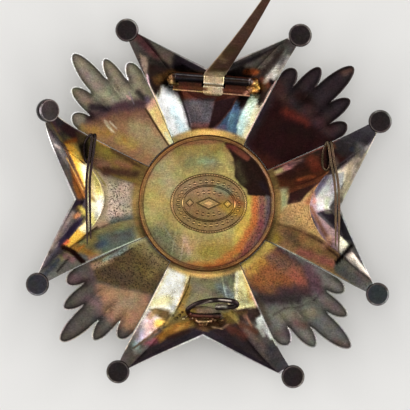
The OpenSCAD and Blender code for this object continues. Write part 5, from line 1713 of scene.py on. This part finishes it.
# Thin run of the solder along the facet's edge: across, outward from the foot, radius
CATCH_RUN = [
    (-2.7, -0.9, 0.5),
    (-3.5, -0.3, 0.45),
    (-4.3, -0.8, 0.5),
    (-5.2, -0.2, 0.4),
    (-5.9, -0.9, 0.42),
    (-6.6, -0.3, 0.32),
    (-3.2, 0.4, 0.3),
    (-4.7, 0.5, 0.3),
    (2.5, -0.9, 0.5),
    (3.3, -0.4, 0.4),
    (4.1, -1.0, 0.42),
    (4.9, -0.5, 0.3)]
foot = [(x, y - catch_reach, z + catch_foot_z, r) for x, y, z, r in CATCH_SOLDER]
foot += [(x, y - catch_reach, cross_height(x, y - catch_reach) - run_sink * r, r)
         for x, y, r in CATCH_RUN]
foot_solder = run_solder(foot, grain=0.15, turns=3, seed=8)
# Tarnish of the catch's solder, with painted highlights along its lower edge
SOLDER_TARNISH_AND_HIGHLIGHTS = [
    # outline in the photograph, reach, softness, colour, cover
    ([(172, 316), (192, 330)], 6, 4, (122, 100, 62, 160), 1),
    ([(178, 322), (186, 318)], 1.5, 2.5, (196, 172, 120), 0.8),
    ([(192.5, 318.5), (198.5, 321.8)], 0.5, 1, (236, 206, 166), 0.95),
    ([(198.5, 321.8), (212, 321)], 0.5, 1, (214, 178, 132), 0.9),
    ([(216, 328), (226, 322)], 2, 3, (160, 116, 86), 0.8),
    ([(224, 318), (230, 322)], 2, 3, (128, 104, 50), 0.8),
    ([(213, 322), (222, 322)], 2, 3, (130, 100, 70), 0.8)]
catch_solder = coated("catch_solder", foot_solder, solder_bronze, (84, 60, 40), SOLDER_TARNISH_AND_HIGHLIGHTS)
for piece in (catch_loop, catch_solder):
    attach(piece, "star")
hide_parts("catch")

# The hooks.
# Two double prongs of thin wire, one on each side arm. Each is one length of wire: two prongs side
# by side, a bend over the arm's edge and a narrow foot loop soldered to the facet below.

hook_wire_r = 0.29
prong_l = 24.0
prong_pitch = 0.75
prong_stagger = 1.2
hook_top = 14.3
foot_bottom = 8.2
foot_start = 2.4
foot_round, foot_round_l = 0.1, 0.8
# Middle of a prong, and its end at the bend: how far along, and how far from the bend's line
prong_middle, prong_end_l, prong_end_bow = 0.45, 4, 0.35
# The bend's top and its lower part: along, down, and the lower part's share of the way to the foot
bend_l, bend_down = 0.2, 0.35
low_bend_l, low_bend_down, low_bend_share = 0.6, 0.95, 0.6
# Radius of a prong's point as a share of the wire's, and the steps over which it tapers to it
point_share, point_steps = 0.45, 10
# Distances from the middle: top bend, prongs' middle, points, inner and outer leg of the foot
HOOKS = {
    # side, top bend, prongs' middle, points, inner leg, outer leg, height of the prongs
    "hook_left": (-1, 25.3, 26.2, 25.6, 25.7, 27.4, 8.69),
    "hook_right": (1, 26.6, 28.5, 28.9, 25.2, 26.9, 8.26)}


def hook(side, top, middle, point, inner, outer, prong_z):
    """Path of a hook's wire: up one prong, down to the foot loop, and back along the other."""
    half = prong_pitch / 2

    def at(x, y, z):
        return side * x, y, z

    def foot_at(x, y):
        return at(x, y, cross_height(side * x, y) + hook_wire_r)

    def prong(offset, cut):
        return [at(point + offset, hook_top - prong_l + cut, prong_z),
                at(middle + offset, hook_top - prong_l * prong_middle, prong_z),
                at(mix(top, middle, prong_end_bow) + offset, hook_top - prong_end_l, prong_z)]

    def low_bend(leg):
        return at(mix(top, leg, low_bend_share), hook_top - low_bend_l, prong_z - low_bend_down)

    return (prong(half, 0)
            + [at(top + half, hook_top - bend_l, prong_z - bend_down),
               low_bend(outer),
               foot_at(outer, hook_top - foot_start),
               foot_at(outer - foot_round, foot_bottom + foot_round_l),
               foot_at((inner + outer) / 2, foot_bottom),
               foot_at(inner + foot_round, foot_bottom + foot_round_l),
               foot_at(inner, hook_top - foot_start),
               low_bend(inner),
               at(top - half, hook_top - bend_l, prong_z - bend_down)]
            + prong(-half, prong_stagger)[::-1])


HOOK_COLOURS = {"hook_left": (46, 37, 36), "hook_right": (86, 70, 54)}
for name, row in HOOKS.items():
    path = smooth_path(hook(*row))
    from_end = np.minimum(np.arange(len(path)), np.arange(len(path))[::-1])
    hook_r = hook_wire_r * np.clip(point_share + from_end / point_steps, 0, 1)
    hook_wire = coated(f"{name}_wire", wire(path, hook_r, sides=14), dark_wire, HOOK_COLOURS[name])
    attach(hook_wire, "star")
    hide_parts(name)

# The studio.
# A pale matt table under soft boxes: one overhead and two low ones at the sides, which the arms'
# slopes mirror. The camera looks straight down, a little turned, as in the photograph.

floor_mesh = bpy.data.meshes.new("floor")
floor_mesh.from_pydata([(-1, -1, 0), (1, -1, 0), (1, 1, 0), (-1, 1, 0)], [], [(0, 1, 2, 3)])
floor = placed("floor", floor_mesh)
pale_table = bpy.data.materials.new("pale_table")
pale_table.use_nodes = True
table_surface = pale_table.node_tree.nodes["Principled BSDF"].inputs
table_surface["Base Color"].default_value = (0.78, 0.77, 0.75, 1)
table_surface["Roughness"].default_value = 0.85
floor_mesh.materials.append(pale_table)

camera = placed("camera", bpy.data.cameras.new("camera"))
camera.location = (camera_place[0] * MM, camera_place[1] * MM, camera_height * MM)
camera.rotation_euler = (0, 0, camera_roll)
film = 36
camera.data.sensor_width = film
camera.data.lens = film * (camera_height - photo_plane) / photo_width
camera.data.clip_start = 0.01
bpy.context.scene.camera = camera

# Soft boxes: place, width, height, power
SOFT_BOXES = {
    "soft_box_above": ((0, 0, 0.95), 0.9, 0.9, 2),
    "soft_box_left": ((-0.75, 0, 0.28), 0.7, 0.42, 3.6),
    "soft_box_right": ((0.75, 0, 0.28), 0.7, 0.42, 3.6)}
for name, (place, width, height, power) in SOFT_BOXES.items():
    lamp = bpy.data.lights.new(name, "AREA")
    lamp.shape = "RECTANGLE"
    lamp.size, lamp.size_y, lamp.energy = width, height, power
    box = placed(name, lamp)
    box.location = place
    box.rotation_euler = (-Vector(place)).to_track_quat("-Z", "Y").to_euler()
    box.visible_camera = False

world = bpy.data.worlds.new("studio")
bpy.context.scene.world = world
world.use_nodes = True
world.node_tree.nodes["Background"].inputs["Color"].default_value = (1, 1, 1, 1)
world.node_tree.nodes["Background"].inputs["Strength"].default_value = 0.55
bpy.context.scene.view_settings.view_transform = "Standard"
